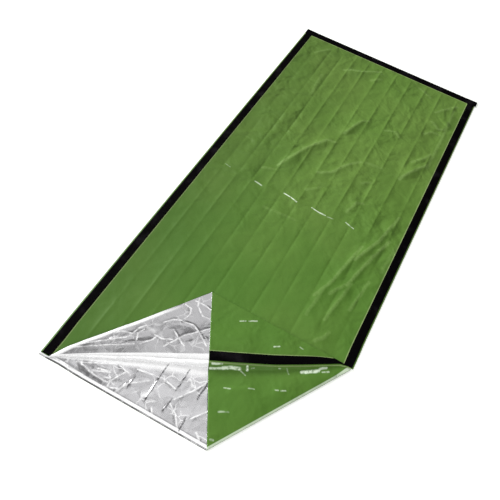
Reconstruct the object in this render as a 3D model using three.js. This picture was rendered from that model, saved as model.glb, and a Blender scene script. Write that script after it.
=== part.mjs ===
// Emergency sleeping bag: a flat two-panel tube bag of metallised film, laid out on the ground.
// Two film panels, green outside and silver inside, are sealed along the left side, the foot and
// the right side, and a black tape covers each seal. The mouth is folded open in one corner:
// the bottom panel's near right corner is turned up onto the bag, and the top panel's is turned
// back and then forward again, so that the silver inside shows as a large triangle.
// Millimetres, +X across the bag, +Y from the mouth to the foot, +Z up, origin under the middle.
//
// A panel is described in its own flat coordinates: u across from the left side, v from the
// mouth. A fold map turns (u, v) into a place in space, and the panel's solid is the mapped
// sheet with its thickness added along the sheet's own normal.
import * as THREE from 'three';

// Driving dimensions of the bag
const WIDTH = 910;              // side to side, laid flat
const LENGTH = 2130;            // mouth to foot
const FILM = 1.0;               // thickness of a film panel's solid
const TAPE = 1.0;               // thickness of the seam tape
const TAPE_WIDTH = 31;          // side tapes
const FOOT_TAPE_WIDTH = 36;     // tape across the foot
const SEAL_MARGIN = 5;          // film left bare outside a side tape
const GAP = 0.3;                // between touching pieces
const SEAL_GAP = 0.6;           // between the two panels at a sealed edge
const TAB = 5;                  // the foot tape sticks out this far at the right corner
const RIM_STEP = 12;            // at the left side the top panel ends this far short of the bottom one

// The mouth's folds, in flat coordinates
const FOLD_START = 36;          // the fold-back line starts this far in from the left side
const FOLD_HEIGHT = 490;        // and ends this far up the right side

// Heights of the neutral surfaces above the ground
const BOTTOM_Z = FILM / 2;
const SEAM_Z = BOTTOM_Z + FILM + SEAL_GAP;
const CROWN = 14;               // rise of the top panel over the seams, with air in the bag
const MOUTH_RISE = 8.5;         // the same at the fold-back line, where the bag is pressed down
const SEAL_FLAT = 38;           // the taped edge lies flat for this width
const SIDE_RAMP = 80;           // distance from a taped edge in which the top panel rises
const FOOT_RAMP = 110;          // the same at the foot
const MOUTH_RAMP = 260;         // from the fold-back line to the full crown

// Radii of the folds' bends, on the neutral surface
const RIDGE_START_R = 1.6;      // fold-back ridge at the left side
const RIDGE_MID_R = 17;         // where it is fullest, under the seam's end
const RIDGE_END_R = 2.1;        // at the right side, with two tapes inside
const LAP_START_R = 0.9;        // second fold of the top panel at the right side
const LAP_END_R = 2.4;          // and at its free end
const CORNER_R = 1.85;          // bottom panel's folded corner

// How the turned-back layers lie
const FLAP_REST = 2.0;          // lowest height of the flap over the main layer
const FLAP_REST_TAPED = 4.2;    // the same over the tapes at the right side
const TAPED_REACH = 90;         // the taped stretch of the fold-back line
const FLAP_SETTLE = 95;         // the full ridge sinks to the rest height in this distance
const FLAP_DRAW = 0.943;        // pleats draw the flap in towards the ridge by this factor
const FLAP_SKEW = 0.023;        // and skew it towards the right side
const LAP_REST = 2.2;           // height of the twice-turned layer over the flap
const LAP_SETTLE = 60;
const WALL_DROP = 1.22;         // film used by the wall under the seam, for each mm of height
const WALL_RUN = 0.45;          // how far that wall runs out, for each mm of film
const CORNER_BULGE = 5;         // air under the folded corner

// Packing creases: the panels were pleated along their length, and then folded across
const PLEATS = 12;              // strips between the long creases
const PLEAT_RISE = 1.1;         // a crease stands this far above or below the panel
const FLAP_PLEAT_RISE = 1.3;
const FLOOR_CREASE_RISE = 0.9;  // the bottom panel lies flat between narrow raised creases
const FLOOR_CREASE_HALF = 14;
const CROSS_CREASES = [
  { v: 1060, depth: 2.4, reach: 26 },
  { v: 545, depth: 1.0, reach: 22 },
  { v: 1590, depth: 1.1, reach: 22 },
];

// Long soft folds in the top panel, from the photograph: ends, height and half width
const TOP_FOLDS = [
  { u0: 455, v0: 1650, u1: 330, v1: 1145, height: 3.4, reach: 26 },
  { u0: 505, v0: 1385, u1: 345, v1: 1035, height: 2.8, reach: 24 },
  { u0: 815, v0: 1610, u1: 745, v1: 1410, height: 3.6, reach: 24 },
  { u0: 820, v0: 1230, u1: 735, v1: 830, height: 3.0, reach: 26 },
  { u0: 275, v0: 1925, u1: 490, v1: 2030, height: 3.2, reach: 24 },
  { u0: 735, v0: 1830, u1: 850, v1: 1890, height: 2.6, reach: 22 },
  { u0: 170, v0: 1400, u1: 115, v1: 1010, height: 2.4, reach: 26 },
  { u0: 560, v0: 900, u1: 470, v1: 640, height: 2.6, reach: 26 },
  { u0: 250, v0: 800, u1: 190, v1: 470, height: 2.4, reach: 24 },
];

// Pleats that fan out over the turned-back flap from the mouth's left corner
const FAN_FOLDS = [
  { turn: 8, start: 60, end: 470, height: 4.5, reach: 11 },
  { turn: 15, start: 90, end: 420, height: 3.6, reach: 12 },
  { turn: 23, start: 130, end: 520, height: 4.2, reach: 14 },
];

// Soft ridges in the silver floor of the mouth
const FLOOR_FOLDS = [
  { u0: 120, v0: 35, u1: 475, v1: 222, height: 3.0, reach: 13 },
  { u0: 215, v0: 25, u1: 232, v1: 78, height: 2.2, reach: 10 },
  { u0: 340, v0: 20, u1: 358, v1: 128, height: 2.6, reach: 10 },
  { u0: 430, v0: 28, u1: 452, v1: 170, height: 2.4, reach: 10 },
  { u0: 520, v0: 25, u1: 530, v1: 140, height: 2.2, reach: 10 },
];

// Finish of each kind of surface
const FILM_GREEN = { color: 0x5b8539, roughness: 0.38, metalness: 0.1 };
const FILM_GREEN_UNDER = { color: 0x55803a, roughness: 0.38, metalness: 0.1 };
const TAPE_BLACK = { color: 0x101012, roughness: 0.55, metalness: 0.0 };

const HALF_TURN = Math.PI;
const clamp01 = (x) => Math.min(1, Math.max(0, x));
const smooth = (x) => { const t = clamp01(x); return t * t * (3 - 2 * t); };
const mix = (a, b, t) => a + (b - a) * t;

// A straight fold line in a sheet, with distances along it and off it
class FoldLine {
  constructor(u0, v0, u1, v1) {
    this.u0 = u0;
    this.v0 = v0;
    this.length = Math.hypot(u1 - u0, v1 - v0);
    this.du = (u1 - u0) / this.length;
    this.dv = (v1 - v0) / this.length;
  }

  along(u, v) { return (u - this.u0) * this.du + (v - this.v0) * this.dv; }

  off(u, v) { return (v - this.v0) * this.du - (u - this.u0) * this.dv; }

  point(along, off) {
    return [this.u0 + along * this.du - off * this.dv, this.v0 + along * this.dv + off * this.du];
  }
}

// The top panel's rim steps back towards the left side
const rimV = (u) => RIM_STEP * (1 - u / WIDTH);

// Fold-back line of the top panel, and the line on which both panels' corners turn
const RIDGE = new FoldLine(FOLD_START, rimV(FOLD_START), WIDTH, FOLD_HEIGHT);
const SEAM_TURN = HALF_TURN / 2 - Math.atan2(RIDGE.dv, RIDGE.du);
const CORNER_U = WIDTH - FOLD_HEIGHT * Math.tan(SEAM_TURN / 2);
const CORNER = new FoldLine(CORNER_U, 0, WIDTH, FOLD_HEIGHT);
const SEAM_END = RIDGE.length - FOLD_HEIGHT;    // the folded seam's end, along the ridge

// Radius of the fold-back ridge's bend: a slim cone from each side, fullest at the seam's end
function ridgeRadius(along) {
  const t = clamp01(along / SEAM_END);
  const back = clamp01((along - SEAM_END) / FOLD_HEIGHT);
  return back > 0 ? mix(RIDGE_MID_R, RIDGE_END_R, back) : mix(RIDGE_START_R, RIDGE_MID_R, t);
}

// Height of a soft ridge between two points, with tapered ends
function softFold(fold, u, v) {
  const line = new FoldLine(fold.u0, fold.v0, fold.u1, fold.v1);
  const along = line.along(u, v) / line.length;
  const taper = smooth(Math.min(along, 1 - along) * 3 + 0.5);
  return fold.height * taper * Math.exp(-((line.off(u, v) / fold.reach) ** 2));
}

// Long creases stand up and down in turn, a flat strip between each two
function pleat(u) {
  const strip = (u / WIDTH) * PLEATS;
  return 1 - 2 * Math.abs((strip % 2) - 1);
}

// Narrow crease of the bottom panel, over the flat strips on either side
function floorCrease(u) {
  const strip = WIDTH / PLEATS;
  const nearest = Math.min(PLEATS - 1, Math.max(1, Math.round(u / strip))) * strip;
  return FLOOR_CREASE_RISE * clamp01(1 - Math.abs(u - nearest) / FLOOR_CREASE_HALF);
}

function crossCreases(v) {
  return CROSS_CREASES.reduce((z, c) => z - c.depth * Math.exp(-(((v - c.v) / c.reach) ** 2)), 0);
}

// Neutral height of the top panel's main layer, without its creases
function topHeight(u, v) {
  const side = smooth((Math.min(u, WIDTH - u) - SEAL_FLAT) / SIDE_RAMP);
  const foot = smooth((LENGTH - v - SEAL_FLAT) / FOOT_RAMP);
  const inward = smooth(RIDGE.off(u, v) / MOUTH_RAMP);
  return SEAM_Z + side * foot * mix(MOUTH_RISE, CROWN, inward);
}

// Creases and folds of the top panel, which fade out towards the seams and the ridge
function topRelief(u, v) {
  const seam = smooth((Math.min(u, WIDTH - u, LENGTH - v) - 42) / 30);
  const ridge = smooth((RIDGE.off(u, v) - 40) / 60);
  const folds = TOP_FOLDS.reduce((z, f) => z + softFold(f, u, v), 0);
  return seam * ridge * (PLEAT_RISE * pleat(u) + crossCreases(v) + folds);
}

// Pleats of the turned-back flap, by distance along the ridge and away from it
function fanRelief(along, away) {
  let z = 0;
  for (const f of FAN_FOLDS) {
    const turn = (f.turn * Math.PI) / 180;
    const far = along * Math.cos(turn) + away * Math.sin(turn);
    const off = away * Math.cos(turn) - along * Math.sin(turn);
    const span = (far - f.start) / (f.end - f.start);
    z += f.height * smooth(Math.min(span, 1 - span) * 3 + 0.5) * Math.exp(-((off / f.reach) ** 2));
  }
  return z;
}

// Places a point of the top panel by its distance along the ridge, its distance off the ridge
// in the flat sheet, and its height on the panel's silver side
function foldBack(along, off, silver) {
  const radius = ridgeRadius(along);
  const half = (HALF_TURN * radius) / 2;
  if (off >= half) {
    const [u, v] = RIDGE.point(along, off);
    return new THREE.Vector3(u, v, topHeight(u, v) + topRelief(u, v) - silver);
  }
  if (off > -half) {
    const turn = (half - off) / radius;
    const [u, v] = RIDGE.point(along, half - (radius + silver) * Math.sin(turn));
    const [bu, bv] = RIDGE.point(along, half);
    const z = topHeight(bu, bv) + radius - (radius + silver) * Math.cos(turn);
    return new THREE.Vector3(u, v, z);
  }
  const away = -off - half;
  const [u, v] = RIDGE.point(along + away * FLAP_SKEW, half + away * FLAP_DRAW);
  const taped = smooth((along - RIDGE.length + TAPED_REACH) / (TAPED_REACH / 2));
  const rest = mix(FLAP_REST, FLAP_REST_TAPED, taped);
  const settle = smooth(away / FLAP_SETTLE);
  const lift = mix(Math.max(2 * radius, rest), rest, settle);
  const creases = fanRelief(along, away) + FLAP_PLEAT_RISE * (1 + pleat(RIDGE.point(along, off)[0]));
  const relief = smooth(away / 40) * smooth((RIDGE.length - along - 60) / 60) * creases;
  return new THREE.Vector3(u, v, topHeight(u, v) + lift + relief + silver);
}

// The top panel: its near right corner first turns over the corner line, onto its silver side
function topMap(u, v) {
  const along = CORNER.along(u, v);
  const off = CORNER.off(u, v);
  const radius = mix(LAP_END_R, LAP_START_R, clamp01(along / CORNER.length));
  const half = (HALF_TURN * radius) / 2;
  let near = off;
  let silver = 0;
  if (off < half && off > -half) {
    const turn = (half - off) / radius;
    near = half - radius * Math.sin(turn);
    silver = radius * (1 - Math.cos(turn));
  } else if (off <= -half) {
    near = -off;
    const rest = Math.min(LAP_REST, 2 * radius);
    silver = mix(2 * radius, rest, smooth((-off - half) / LAP_SETTLE));
  }
  const [pu, pv] = CORNER.point(along, near);
  return foldBack(RIDGE.along(pu, pv), RIDGE.off(pu, pv), silver);
}

// Neutral height of the bottom panel where it lies on the ground
function floorRelief(u, v) {
  const mouth = FLOOR_FOLDS.reduce((z, f) => z + softFold(f, u, v), 0);
  const inside = smooth(RIDGE.off(u, v) / 40);
  const foot = smooth((LENGTH - v - SEAL_FLAT) / 60);
  return mix(mouth, 0, inside) + foot * floorCrease(u);
}

// The bottom panel: its near right corner turns up and over, and climbs to the folded seam
function bottomMap(u, v) {
  const along = CORNER.along(u, v);
  const off = CORNER.off(u, v);
  const half = (HALF_TURN * CORNER_R) / 2;
  if (off >= half) {
    return new THREE.Vector3(u, v, BOTTOM_Z + floorRelief(u, v) * smooth((off - half) / 30));
  }
  if (off > -half) {
    const turn = (half - off) / CORNER_R;
    const [bu, bv] = CORNER.point(along, half - CORNER_R * Math.sin(turn));
    return new THREE.Vector3(bu, bv, BOTTOM_Z + CORNER_R * (1 - Math.cos(turn)));
  }
  const fromSeam = WIDTH - u;
  const downSeam = FOLD_HEIGHT - v;
  const ridgeAlong = RIDGE.length - downSeam;
  const ridgeR = ridgeRadius(ridgeAlong);
  const seamOff = (HALF_TURN / 2 - 1) * ridgeR - LAP_REST - FILM - SEAL_GAP;
  const [su, sv] = RIDGE.point(ridgeAlong, (HALF_TURN * ridgeR) / 2);
  const seamZ = topHeight(su, sv) + ridgeR;
  const lowZ = BOTTOM_Z + 2 * CORNER_R;
  const wall = Math.max(seamZ - lowZ, 0) * WALL_DROP;
  const wallFoot = seamOff - WALL_RUN * wall;
  const foldAt = Math.max(downSeam * Math.tan(SEAM_TURN / 2), 1);
  const down = clamp01(fromSeam / Math.max(wall, 0.01)) * HALF_TURN / 2;
  const beyond = clamp01((fromSeam - wall) / Math.max(foldAt - wall, 1));
  const bulge = CORNER_BULGE * Math.sin(HALF_TURN * beyond) * smooth(downSeam / 200);
  const offLine = fromSeam < wall
    ? seamOff - WALL_RUN * wall * (1 - Math.cos(down))
    : -fromSeam + (wallFoot + wall) * (1 - beyond);
  const [pu, pv] = RIDGE.point(ridgeAlong, offLine);
  const z = lowZ + Math.max(seamZ - lowZ, 0) * (1 - Math.sin(down)) + bulge;
  return new THREE.Vector3(pu, pv, z);
}

// Unit normal of a mapped sheet, on the side that faces up where it lies flat
function sheetNormal(map, u, v) {
  const step = 0.05;
  const du = map(u + step, v).sub(map(u - step, v));
  const dv = map(u, v + step).sub(map(u, v - step));
  return du.cross(dv).normalize();
}

// A flat sheet cut into convex cells, which share their corners
class Cells {
  constructor(outline) { this.cells = [outline]; }

  // Cuts the cells in reach along the line through two points
  cut(a, b, reach = () => true) {
    const line = new FoldLine(a[0], a[1], b[0], b[1]);
    this.cells = this.cells.flatMap((cell) => (reach(cell) ? Cells.split(cell, line) : [cell]));
  }

  static split(cell, line) {
    const tiny = 0.02;
    const offs = cell.map(([u, v]) => line.off(u, v));
    if (Math.max(...offs) < tiny || Math.min(...offs) > -tiny) return [cell];
    const above = [];
    const below = [];
    cell.forEach((p, i) => {
      const q = cell[(i + 1) % cell.length];
      const a = offs[i];
      const b = offs[(i + 1) % cell.length];
      if (a >= -tiny) above.push(p);
      if (a <= tiny) below.push(p);
      if ((a > tiny && b < -tiny) || (a < -tiny && b > tiny)) {
        const t = a / (a - b);
        const cross = [mix(p[0], q[0], t), mix(p[1], q[1], t)];
        above.push(cross);
        below.push(cross);
      }
    });
    return [above, below];
  }

  // Corners as one shared list, and cells as rings of indices with no corner left out
  knit() {
    const corners = [];
    const lookup = new Map();
    const index = ([u, v]) => {
      const key = `${Math.round(u * 20)},${Math.round(v * 20)}`;
      if (!lookup.has(key)) {
        lookup.set(key, corners.length);
        corners.push([u, v]);
      }
      return lookup.get(key);
    };
    const rings = this.cells.map((cell) => {
      const ring = cell.map(index);
      return ring.filter((k, i) => k !== ring[(i + 1) % ring.length]);
    }).filter((ring) => ring.length > 2);
    return { corners, rings: rings.map((ring) => Cells.insertShared(ring, corners)) };
  }

  // Adds every shared corner that lies on one of the ring's sides
  static insertShared(ring, corners) {
    return ring.flatMap((k, i) => {
      const next = ring[(i + 1) % ring.length];
      const [a, b] = [corners[k], corners[next]];
      const side = new FoldLine(a[0], a[1], b[0], b[1]);
      const onSide = corners.flatMap((p, j) => {
        const along = side.along(p[0], p[1]);
        const inside = along > 0.05 && along < side.length - 0.05;
        return inside && Math.abs(side.off(p[0], p[1])) < 0.03 && j !== k && j !== next ? [[along, j]] : [];
      });
      return [k, ...onSide.sort((x, y) => x[0] - y[0]).map((pair) => pair[1])];
    });
  }
}

// Triangles of a convex ring, round its middle when corners lie on its sides
function ringTriangles(ring, corners) {
  const straight = ring.some((k, i) => {
    const a = corners[ring[(i + ring.length - 1) % ring.length]];
    const b = corners[k];
    const c = corners[ring[(i + 1) % ring.length]];
    const turn = (b[0] - a[0]) * (c[1] - b[1]) - (b[1] - a[1]) * (c[0] - b[0]);
    return Math.abs(turn) < 0.01 * Math.hypot(b[0] - a[0], b[1] - a[1]) * Math.hypot(c[0] - b[0], c[1] - b[1]);
  });
  if (!straight) {
    const size = (k) => corners[k][0] + 2 * corners[k][1];
    const first = ring.reduce((best, k, i) => (size(k) < size(ring[best]) ? i : best), 0);
    const turned = [...ring.slice(first), ...ring.slice(0, first)];
    return turned.slice(2).map((k, i) => [turned[0], turned[i + 1], k]);
  }
  const middle = corners.length;
  corners.push([0, 1].map((axis) => ring.reduce((sum, k) => sum + corners[k][axis], 0) / ring.length));
  return ring.map((k, i) => [k, ring[(i + 1) % ring.length], middle]);
}

// Closed solid of a mapped sheet: two faces, set off along the normal, and its rim
function sheetSolid(cells, map, thickness, lift = () => 0) {
  const { corners, rings } = cells.knit();
  const faces = rings.flatMap((ring) => ringTriangles(ring, corners));
  const count = corners.length;
  const upper = [];
  const lower = [];
  for (const [u, v] of corners) {
    const normal = sheetNormal(map, u, v);
    const centre = map(u, v).addScaledVector(normal, lift(u, v));
    upper.push(...centre.clone().addScaledVector(normal, thickness / 2).toArray());
    lower.push(...centre.clone().addScaledVector(normal, -thickness / 2).toArray());
  }
  const index = [];
  const rim = new Map();
  for (const [a, b, c] of faces) {
    index.push(a, b, c, a + count, c + count, b + count);
    for (const [p, q] of [[a, b], [b, c], [c, a]]) {
      const back = `${q},${p}`;
      if (rim.has(back)) rim.delete(back);
      else rim.set(`${p},${q}`, [p, q]);
    }
  }
  for (const [p, q] of rim.values()) {
    index.push(p, p + count, q + count, p, q + count, q);
  }
  const geometry = new THREE.BufferGeometry();
  geometry.setAttribute('position', new THREE.Float32BufferAttribute([...upper, ...lower], 3));
  geometry.setIndex(index);
  geometry.computeVertexNormals();
  return geometry;
}

const middleOf = (cell) => [0, 1].map((axis) => cell.reduce((sum, p) => sum + p[axis], 0) / cell.length);
const nearRidge = (cell) => Math.abs(RIDGE.off(...middleOf(cell))) < 110;
const nearCorner = (cell) => Math.abs(CORNER.off(...middleOf(cell))) < 60;

// Strips along the fold-back ridge, as shares of its bend's half width
function cutRidge(cells, shares) {
  const start = (HALF_TURN * ridgeRadius(0)) / 2;
  const mid = (HALF_TURN * RIDGE_MID_R) / 2;
  const end = (HALF_TURN * RIDGE_END_R) / 2;
  cells.cut(RIDGE.point(SEAM_END, 0), RIDGE.point(SEAM_END, 10), nearRidge);
  const before = (cell) => nearRidge(cell) && RIDGE.along(...middleOf(cell)) < SEAM_END;
  const after = (cell) => nearRidge(cell) && RIDGE.along(...middleOf(cell)) > SEAM_END;
  for (const share of shares) {
    cells.cut(RIDGE.point(0, share * start), RIDGE.point(SEAM_END, share * mid), before);
    cells.cut(RIDGE.point(SEAM_END, share * mid), RIDGE.point(RIDGE.length, share * end), after);
  }
}

// Strips along the corner line, for a bend of the given radii at its two ends
function cutCorner(cells, startR, endR, shares) {
  for (const share of shares) {
    const start = (share * HALF_TURN * startR) / 2;
    const end = (share * HALF_TURN * endR) / 2;
    cells.cut(CORNER.point(0, start), CORNER.point(CORNER.length, end), nearCorner);
  }
}

function cutGrid(cells, columns, rows) {
  for (let i = 1; i < columns; i += 1) {
    const u = (WIDTH * i) / columns;
    cells.cut([u, 0], [u, LENGTH]);
  }
  for (const v of rows) cells.cut([0, v], [WIDTH, v]);
}

function rowsFrom(first, last, count) {
  return Array.from({ length: count + 1 }, (_, i) => mix(first, last, i / count));
}

// Cross lines of the top panel and of the tapes on it
const TOP_ROWS = [60, 120, 180, 240, 300, 360, 430, ...rowsFrom(500, LENGTH - SEAL_FLAT, 22), LENGTH - 20];
const BEND_SHARES = [-1, -0.75, -0.5, -0.25, 0, 0.25, 0.5, 0.75, 1];
const TIGHT_SHARES = [-1, -0.5, 0, 0.5, 1];

// Lines along a folded side tape, which the film under it shares
const TAPE_COLUMNS = [0, 0.25, 0.5, 0.75, 1].map((share) => SEAL_MARGIN + share * TAPE_WIDTH);
const inMouth = (cell) => middleOf(cell)[1] < FOLD_HEIGHT + 30;

function buildTopPanel() {
  const cells = new Cells([[0, rimV(0)], [WIDTH, 0], [WIDTH, LENGTH], [0, LENGTH]]);
  cutGrid(cells, PLEATS * 2, TOP_ROWS);
  for (const u of TAPE_COLUMNS) cells.cut([WIDTH - u, 0], [WIDTH - u, LENGTH], inMouth);
  cutRidge(cells, BEND_SHARES);
  cutCorner(cells, LAP_END_R, LAP_START_R, TIGHT_SHARES);
  return sheetSolid(cells, topMap, FILM);
}

function buildBottomPanel() {
  const cells = new Cells([[0, 0], [WIDTH, 0], [WIDTH, LENGTH], [0, LENGTH]]);
  cutGrid(cells, PLEATS, [...rowsFrom(FOLD_HEIGHT + 60, LENGTH - 110, 7), LENGTH - SEAL_FLAT]);
  for (let i = 1; i < PLEATS; i += 1) {
    for (const side of [-FLOOR_CREASE_HALF, FLOOR_CREASE_HALF]) {
      const u = (WIDTH * i) / PLEATS + side;
      cells.cut([u, 0], [u, LENGTH]);
    }
  }
  const mouth = (cell) => middleOf(cell)[1] < FOLD_HEIGHT + 60;
  for (let v = 40; v < FOLD_HEIGHT + 50; v += 40) cells.cut([0, v], [WIDTH, v], mouth);
  cutCorner(cells, CORNER_R, CORNER_R, TIGHT_SHARES);
  const flipped = (cell) => CORNER.off(...middleOf(cell)) < -2;
  const fullWall = (SEAM_Z + MOUTH_RISE + RIDGE_MID_R - BOTTOM_Z - 2 * CORNER_R) * WALL_DROP;
  for (const share of [0.25, 0.5, 0.75, 1]) {
    cells.cut([WIDTH - fullWall * share, 0], [WIDTH - 0.4 * share, FOLD_HEIGHT], flipped);
  }
  return sheetSolid(cells, bottomMap, FILM);
}

// Lift of a tape's neutral surface over the film's
const TAPE_LIFT = FILM / 2 + GAP + TAPE / 2;

function buildSideTape(u0, u1, vStart, fold) {
  const vEnd = LENGTH - 2;
  const cells = new Cells([[u0, vStart], [u1, vStart], [u1, vEnd], [u0, vEnd]]);
  for (const v of TOP_ROWS) cells.cut([0, v], [WIDTH, v]);
  if (fold) {
    for (const u of TAPE_COLUMNS) cells.cut([WIDTH - u, 0], [WIDTH - u, LENGTH], inMouth);
    cutRidge(cells, BEND_SHARES);
    cutCorner(cells, LAP_END_R, LAP_START_R, TIGHT_SHARES);
  }
  return sheetSolid(cells, topMap, TAPE, () => TAPE_LIFT);
}

// The foot's tape laps over the ends of both side tapes
function footLift(u) {
  const inner = SEAL_MARGIN + TAPE_WIDTH;
  const lapped = 1 - smooth((Math.min(u, WIDTH - u) - inner - 3) / 12);
  return TAPE_LIFT + lapped * (TAPE + GAP);
}

// The tape's tab reaches past the right side, level with the seam there
function footMap(u, v) {
  const held = Math.min(u, WIDTH);
  const p = topMap(held, Math.min(v, LENGTH));
  return new THREE.Vector3(u, v, p.z);
}

function buildFootTape() {
  const v0 = LENGTH - FOOT_TAPE_WIDTH;
  const cells = new Cells([[0, v0], [WIDTH + TAB, v0 + 4], [WIDTH + TAB, LENGTH - 3], [0, LENGTH]]);
  for (let i = 1; i < PLEATS * 2; i += 1) {
    const u = (WIDTH * i) / (PLEATS * 2);
    cells.cut([u, 0], [u, LENGTH]);
  }
  const inner = SEAL_MARGIN + TAPE_WIDTH;
  for (const u of [inner + 3, inner + 9, inner + 15]) {
    cells.cut([u, 0], [u, LENGTH]);
    cells.cut([WIDTH - u, 0], [WIDTH - u, LENGTH]);
  }
  cells.cut([0, LENGTH - 20], [WIDTH, LENGTH - 20]);
  return sheetSolid(cells, footMap, TAPE, footLift);
}

const bag = new THREE.Group();
bag.name = 'sleeping_bag';
bag.position.set(-(WIDTH + TAB) / 2, -LENGTH / 2, 0);

function addPiece(name, geometry, finish) {
  const mesh = new THREE.Mesh(geometry, new THREE.MeshStandardMaterial(finish));
  mesh.name = name;
  bag.add(mesh);
}

const rightTape = WIDTH - SEAL_MARGIN - TAPE_WIDTH;
addPiece('bottom_panel', buildBottomPanel(), FILM_GREEN_UNDER);
addPiece('top_panel', buildTopPanel(), FILM_GREEN);
addPiece('tape_left', buildSideTape(SEAL_MARGIN, SEAL_MARGIN + TAPE_WIDTH, RIM_STEP + 2, false), TAPE_BLACK);
addPiece('tape_right', buildSideTape(rightTape, rightTape + TAPE_WIDTH, 1, true), TAPE_BLACK);
addPiece('tape_foot', buildFootTape(), TAPE_BLACK);

export default bag;
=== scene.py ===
"""Emergency sleeping bag: a flat bag of green metallised film with black seam tapes.

The bag lies on the ground with its mouth folded open in one corner, so that the silver inside of
both panels shows. Metres, +X across the bag, +Y from the mouth to the foot, +Z up. A panel is cut
and creased in its own flat coordinates, u across from the left side and v from the mouth, and a
fold map then lays every point of the sheet where it lies in the bag.
"""

import logging
import math
from dataclasses import dataclass, field
from enum import Enum
from typing import Callable, Union

import bmesh
import bpy
import numpy as np
from mathutils import Matrix, Vector


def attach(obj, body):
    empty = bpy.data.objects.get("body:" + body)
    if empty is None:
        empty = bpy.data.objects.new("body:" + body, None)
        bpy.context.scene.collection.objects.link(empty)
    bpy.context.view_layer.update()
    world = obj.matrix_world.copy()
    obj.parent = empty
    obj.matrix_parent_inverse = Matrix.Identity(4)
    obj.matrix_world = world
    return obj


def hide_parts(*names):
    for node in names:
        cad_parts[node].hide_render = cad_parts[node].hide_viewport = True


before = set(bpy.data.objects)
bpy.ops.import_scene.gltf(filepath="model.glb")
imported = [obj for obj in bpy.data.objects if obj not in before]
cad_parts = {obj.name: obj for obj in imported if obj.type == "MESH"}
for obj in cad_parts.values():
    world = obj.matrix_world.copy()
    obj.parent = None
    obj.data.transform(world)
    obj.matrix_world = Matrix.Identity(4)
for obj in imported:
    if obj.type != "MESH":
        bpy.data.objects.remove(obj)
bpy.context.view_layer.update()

log = logging.getLogger("sleeping_bag")

MM = 0.001
QUARTER_TURN = math.pi / 2
UV_SPAN = 2.2                     # metres of flat film that the UV map's unit square stands for
LEFT_FLANK = 0.85                 # widths of a soft fold's two flanks, as shares of its reach
RIGHT_FLANK = 1.25
SOFT_ENDS = 5.0                   # how fast a soft fold rises from its ends
CRISP_ENDS = 4.0                  # the same for a crisp fold, which starts with some height
CRISP_START = 0.25
CLOUD_MIDDLE = 0.5                # middle of the values that a noise node gives

Reading = np.ndarray
Readings = tuple[Reading, ...]
Place = tuple[Reading, Reading, Reading]
Spot = tuple[float, float]
Spot3 = tuple[float, float, float]
Numbers = tuple[float, ...]
Colour = tuple[float, float, float, float]
Input = Union["Value", float, tuple]
Near = Callable[[Vector], bool]


def smooth(x: Reading) -> Reading:
    """Smooth step from 0 to 1, for x from 0 to 1."""
    t = np.clip(x, 0.0, 1.0)
    return t * t * (3.0 - 2.0 * t)


def mix(a: Reading, b: Reading, t: Reading) -> Reading:
    """Straight blend from a to b as t goes from 0 to 1."""
    return a + (b - a) * t


def tent(x: Reading) -> Reading:
    """Straight-sided ridge, 1 where x is 0 and 0 where x is 1 or more."""
    return np.clip(1.0 - x, 0.0, 1.0)


def choose(lies: Reading, bends: Reading, flat: Readings, bend: Readings,
           turned: Readings) -> Readings:
    """Picks each point's values, by whether its sheet lies flat there, bends or has turned."""
    return tuple(np.where(lies, a, np.where(bends, b, c)) for a, b, c in zip(flat, bend, turned))


@dataclass(frozen=True)
class FoldLine:
    """A straight fold line in a flat sheet, with distances along it and off it to its left."""

    start: Spot
    end: Spot

    @property
    def length(self) -> float:
        """Distance between the line's ends."""
        return math.dist(self.start, self.end)

    @property
    def run(self) -> Spot:
        """Unit direction of the line."""
        (u0, v0), (u1, v1) = self.start, self.end
        return (u1 - u0) / self.length, (v1 - v0) / self.length

    def along(self, u: Reading, v: Reading) -> Reading:
        """Distance of points along the line from its start."""
        return (u - self.start[0]) * self.run[0] + (v - self.start[1]) * self.run[1]

    def off(self, u: Reading, v: Reading) -> Reading:
        """Distance of points off the line, positive on its left."""
        return (v - self.start[1]) * self.run[0] - (u - self.start[0]) * self.run[1]

    def read(self, u: Reading, v: Reading) -> tuple[Reading, Reading]:
        """Distances of points along the line and off it."""
        return self.along(u, v), self.off(u, v)

    def point(self, along: Reading, off: Reading) -> tuple[Reading, Reading]:
        """The flat place at a distance along the line and off it."""
        du, dv = self.run
        return self.start[0] + along * du - off * dv, self.start[1] + along * dv + off * du


@dataclass(frozen=True)
class Wrinkle:
    """A raised or sunk fold that follows a few points in flat millimetres.

    A crisp wrinkle has straight flanks that meet in an edge. A soft one is rounded, and its left
    flank is steeper than its right one.
    """

    points: tuple[Spot, ...]
    height: float
    reach: float
    crisp: bool = False

    def rise(self, u: Reading, v: Reading) -> Reading:
        """Height of the wrinkle at flat places, in metres.

        Args:
            u: Metres across the panel.
            v: Metres from the mouth.

        Returns:
            The height that the wrinkle adds.
        """
        nearest = np.full(np.shape(u), np.inf)
        share = np.zeros(np.shape(u))
        lean = np.zeros(np.shape(u))
        legs = list(zip(self.points, self.points[1:]))
        total = sum(math.dist(a, b) for a, b in legs)
        before = 0.0
        for a, b in legs:
            leg = FoldLine((a[0] * MM, a[1] * MM), (b[0] * MM, b[1] * MM))
            run, off = leg.read(u, v)
            held = np.clip(run, 0.0, leg.length)
            gap = np.hypot(off, run - held)
            share = np.where(gap < nearest, (before * MM + held) / (total * MM), share)
            lean = np.where(gap < nearest, off * math.copysign(1.0, leg.run[1]), lean)
            nearest = np.minimum(gap, nearest)
            before += math.dist(a, b)
        inward = np.minimum(share, 1.0 - share)
        if self.crisp:
            taper = smooth(inward * CRISP_ENDS + CRISP_START)
            profile = tent(nearest / (self.reach * MM))
        else:
            taper = smooth(inward * SOFT_ENDS)
            flank = self.reach * MM * np.where(lean > 0.0, LEFT_FLANK, RIGHT_FLANK)
            profile = np.exp(-((nearest / flank) ** 2))
        return self.height * MM * taper * profile


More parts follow.
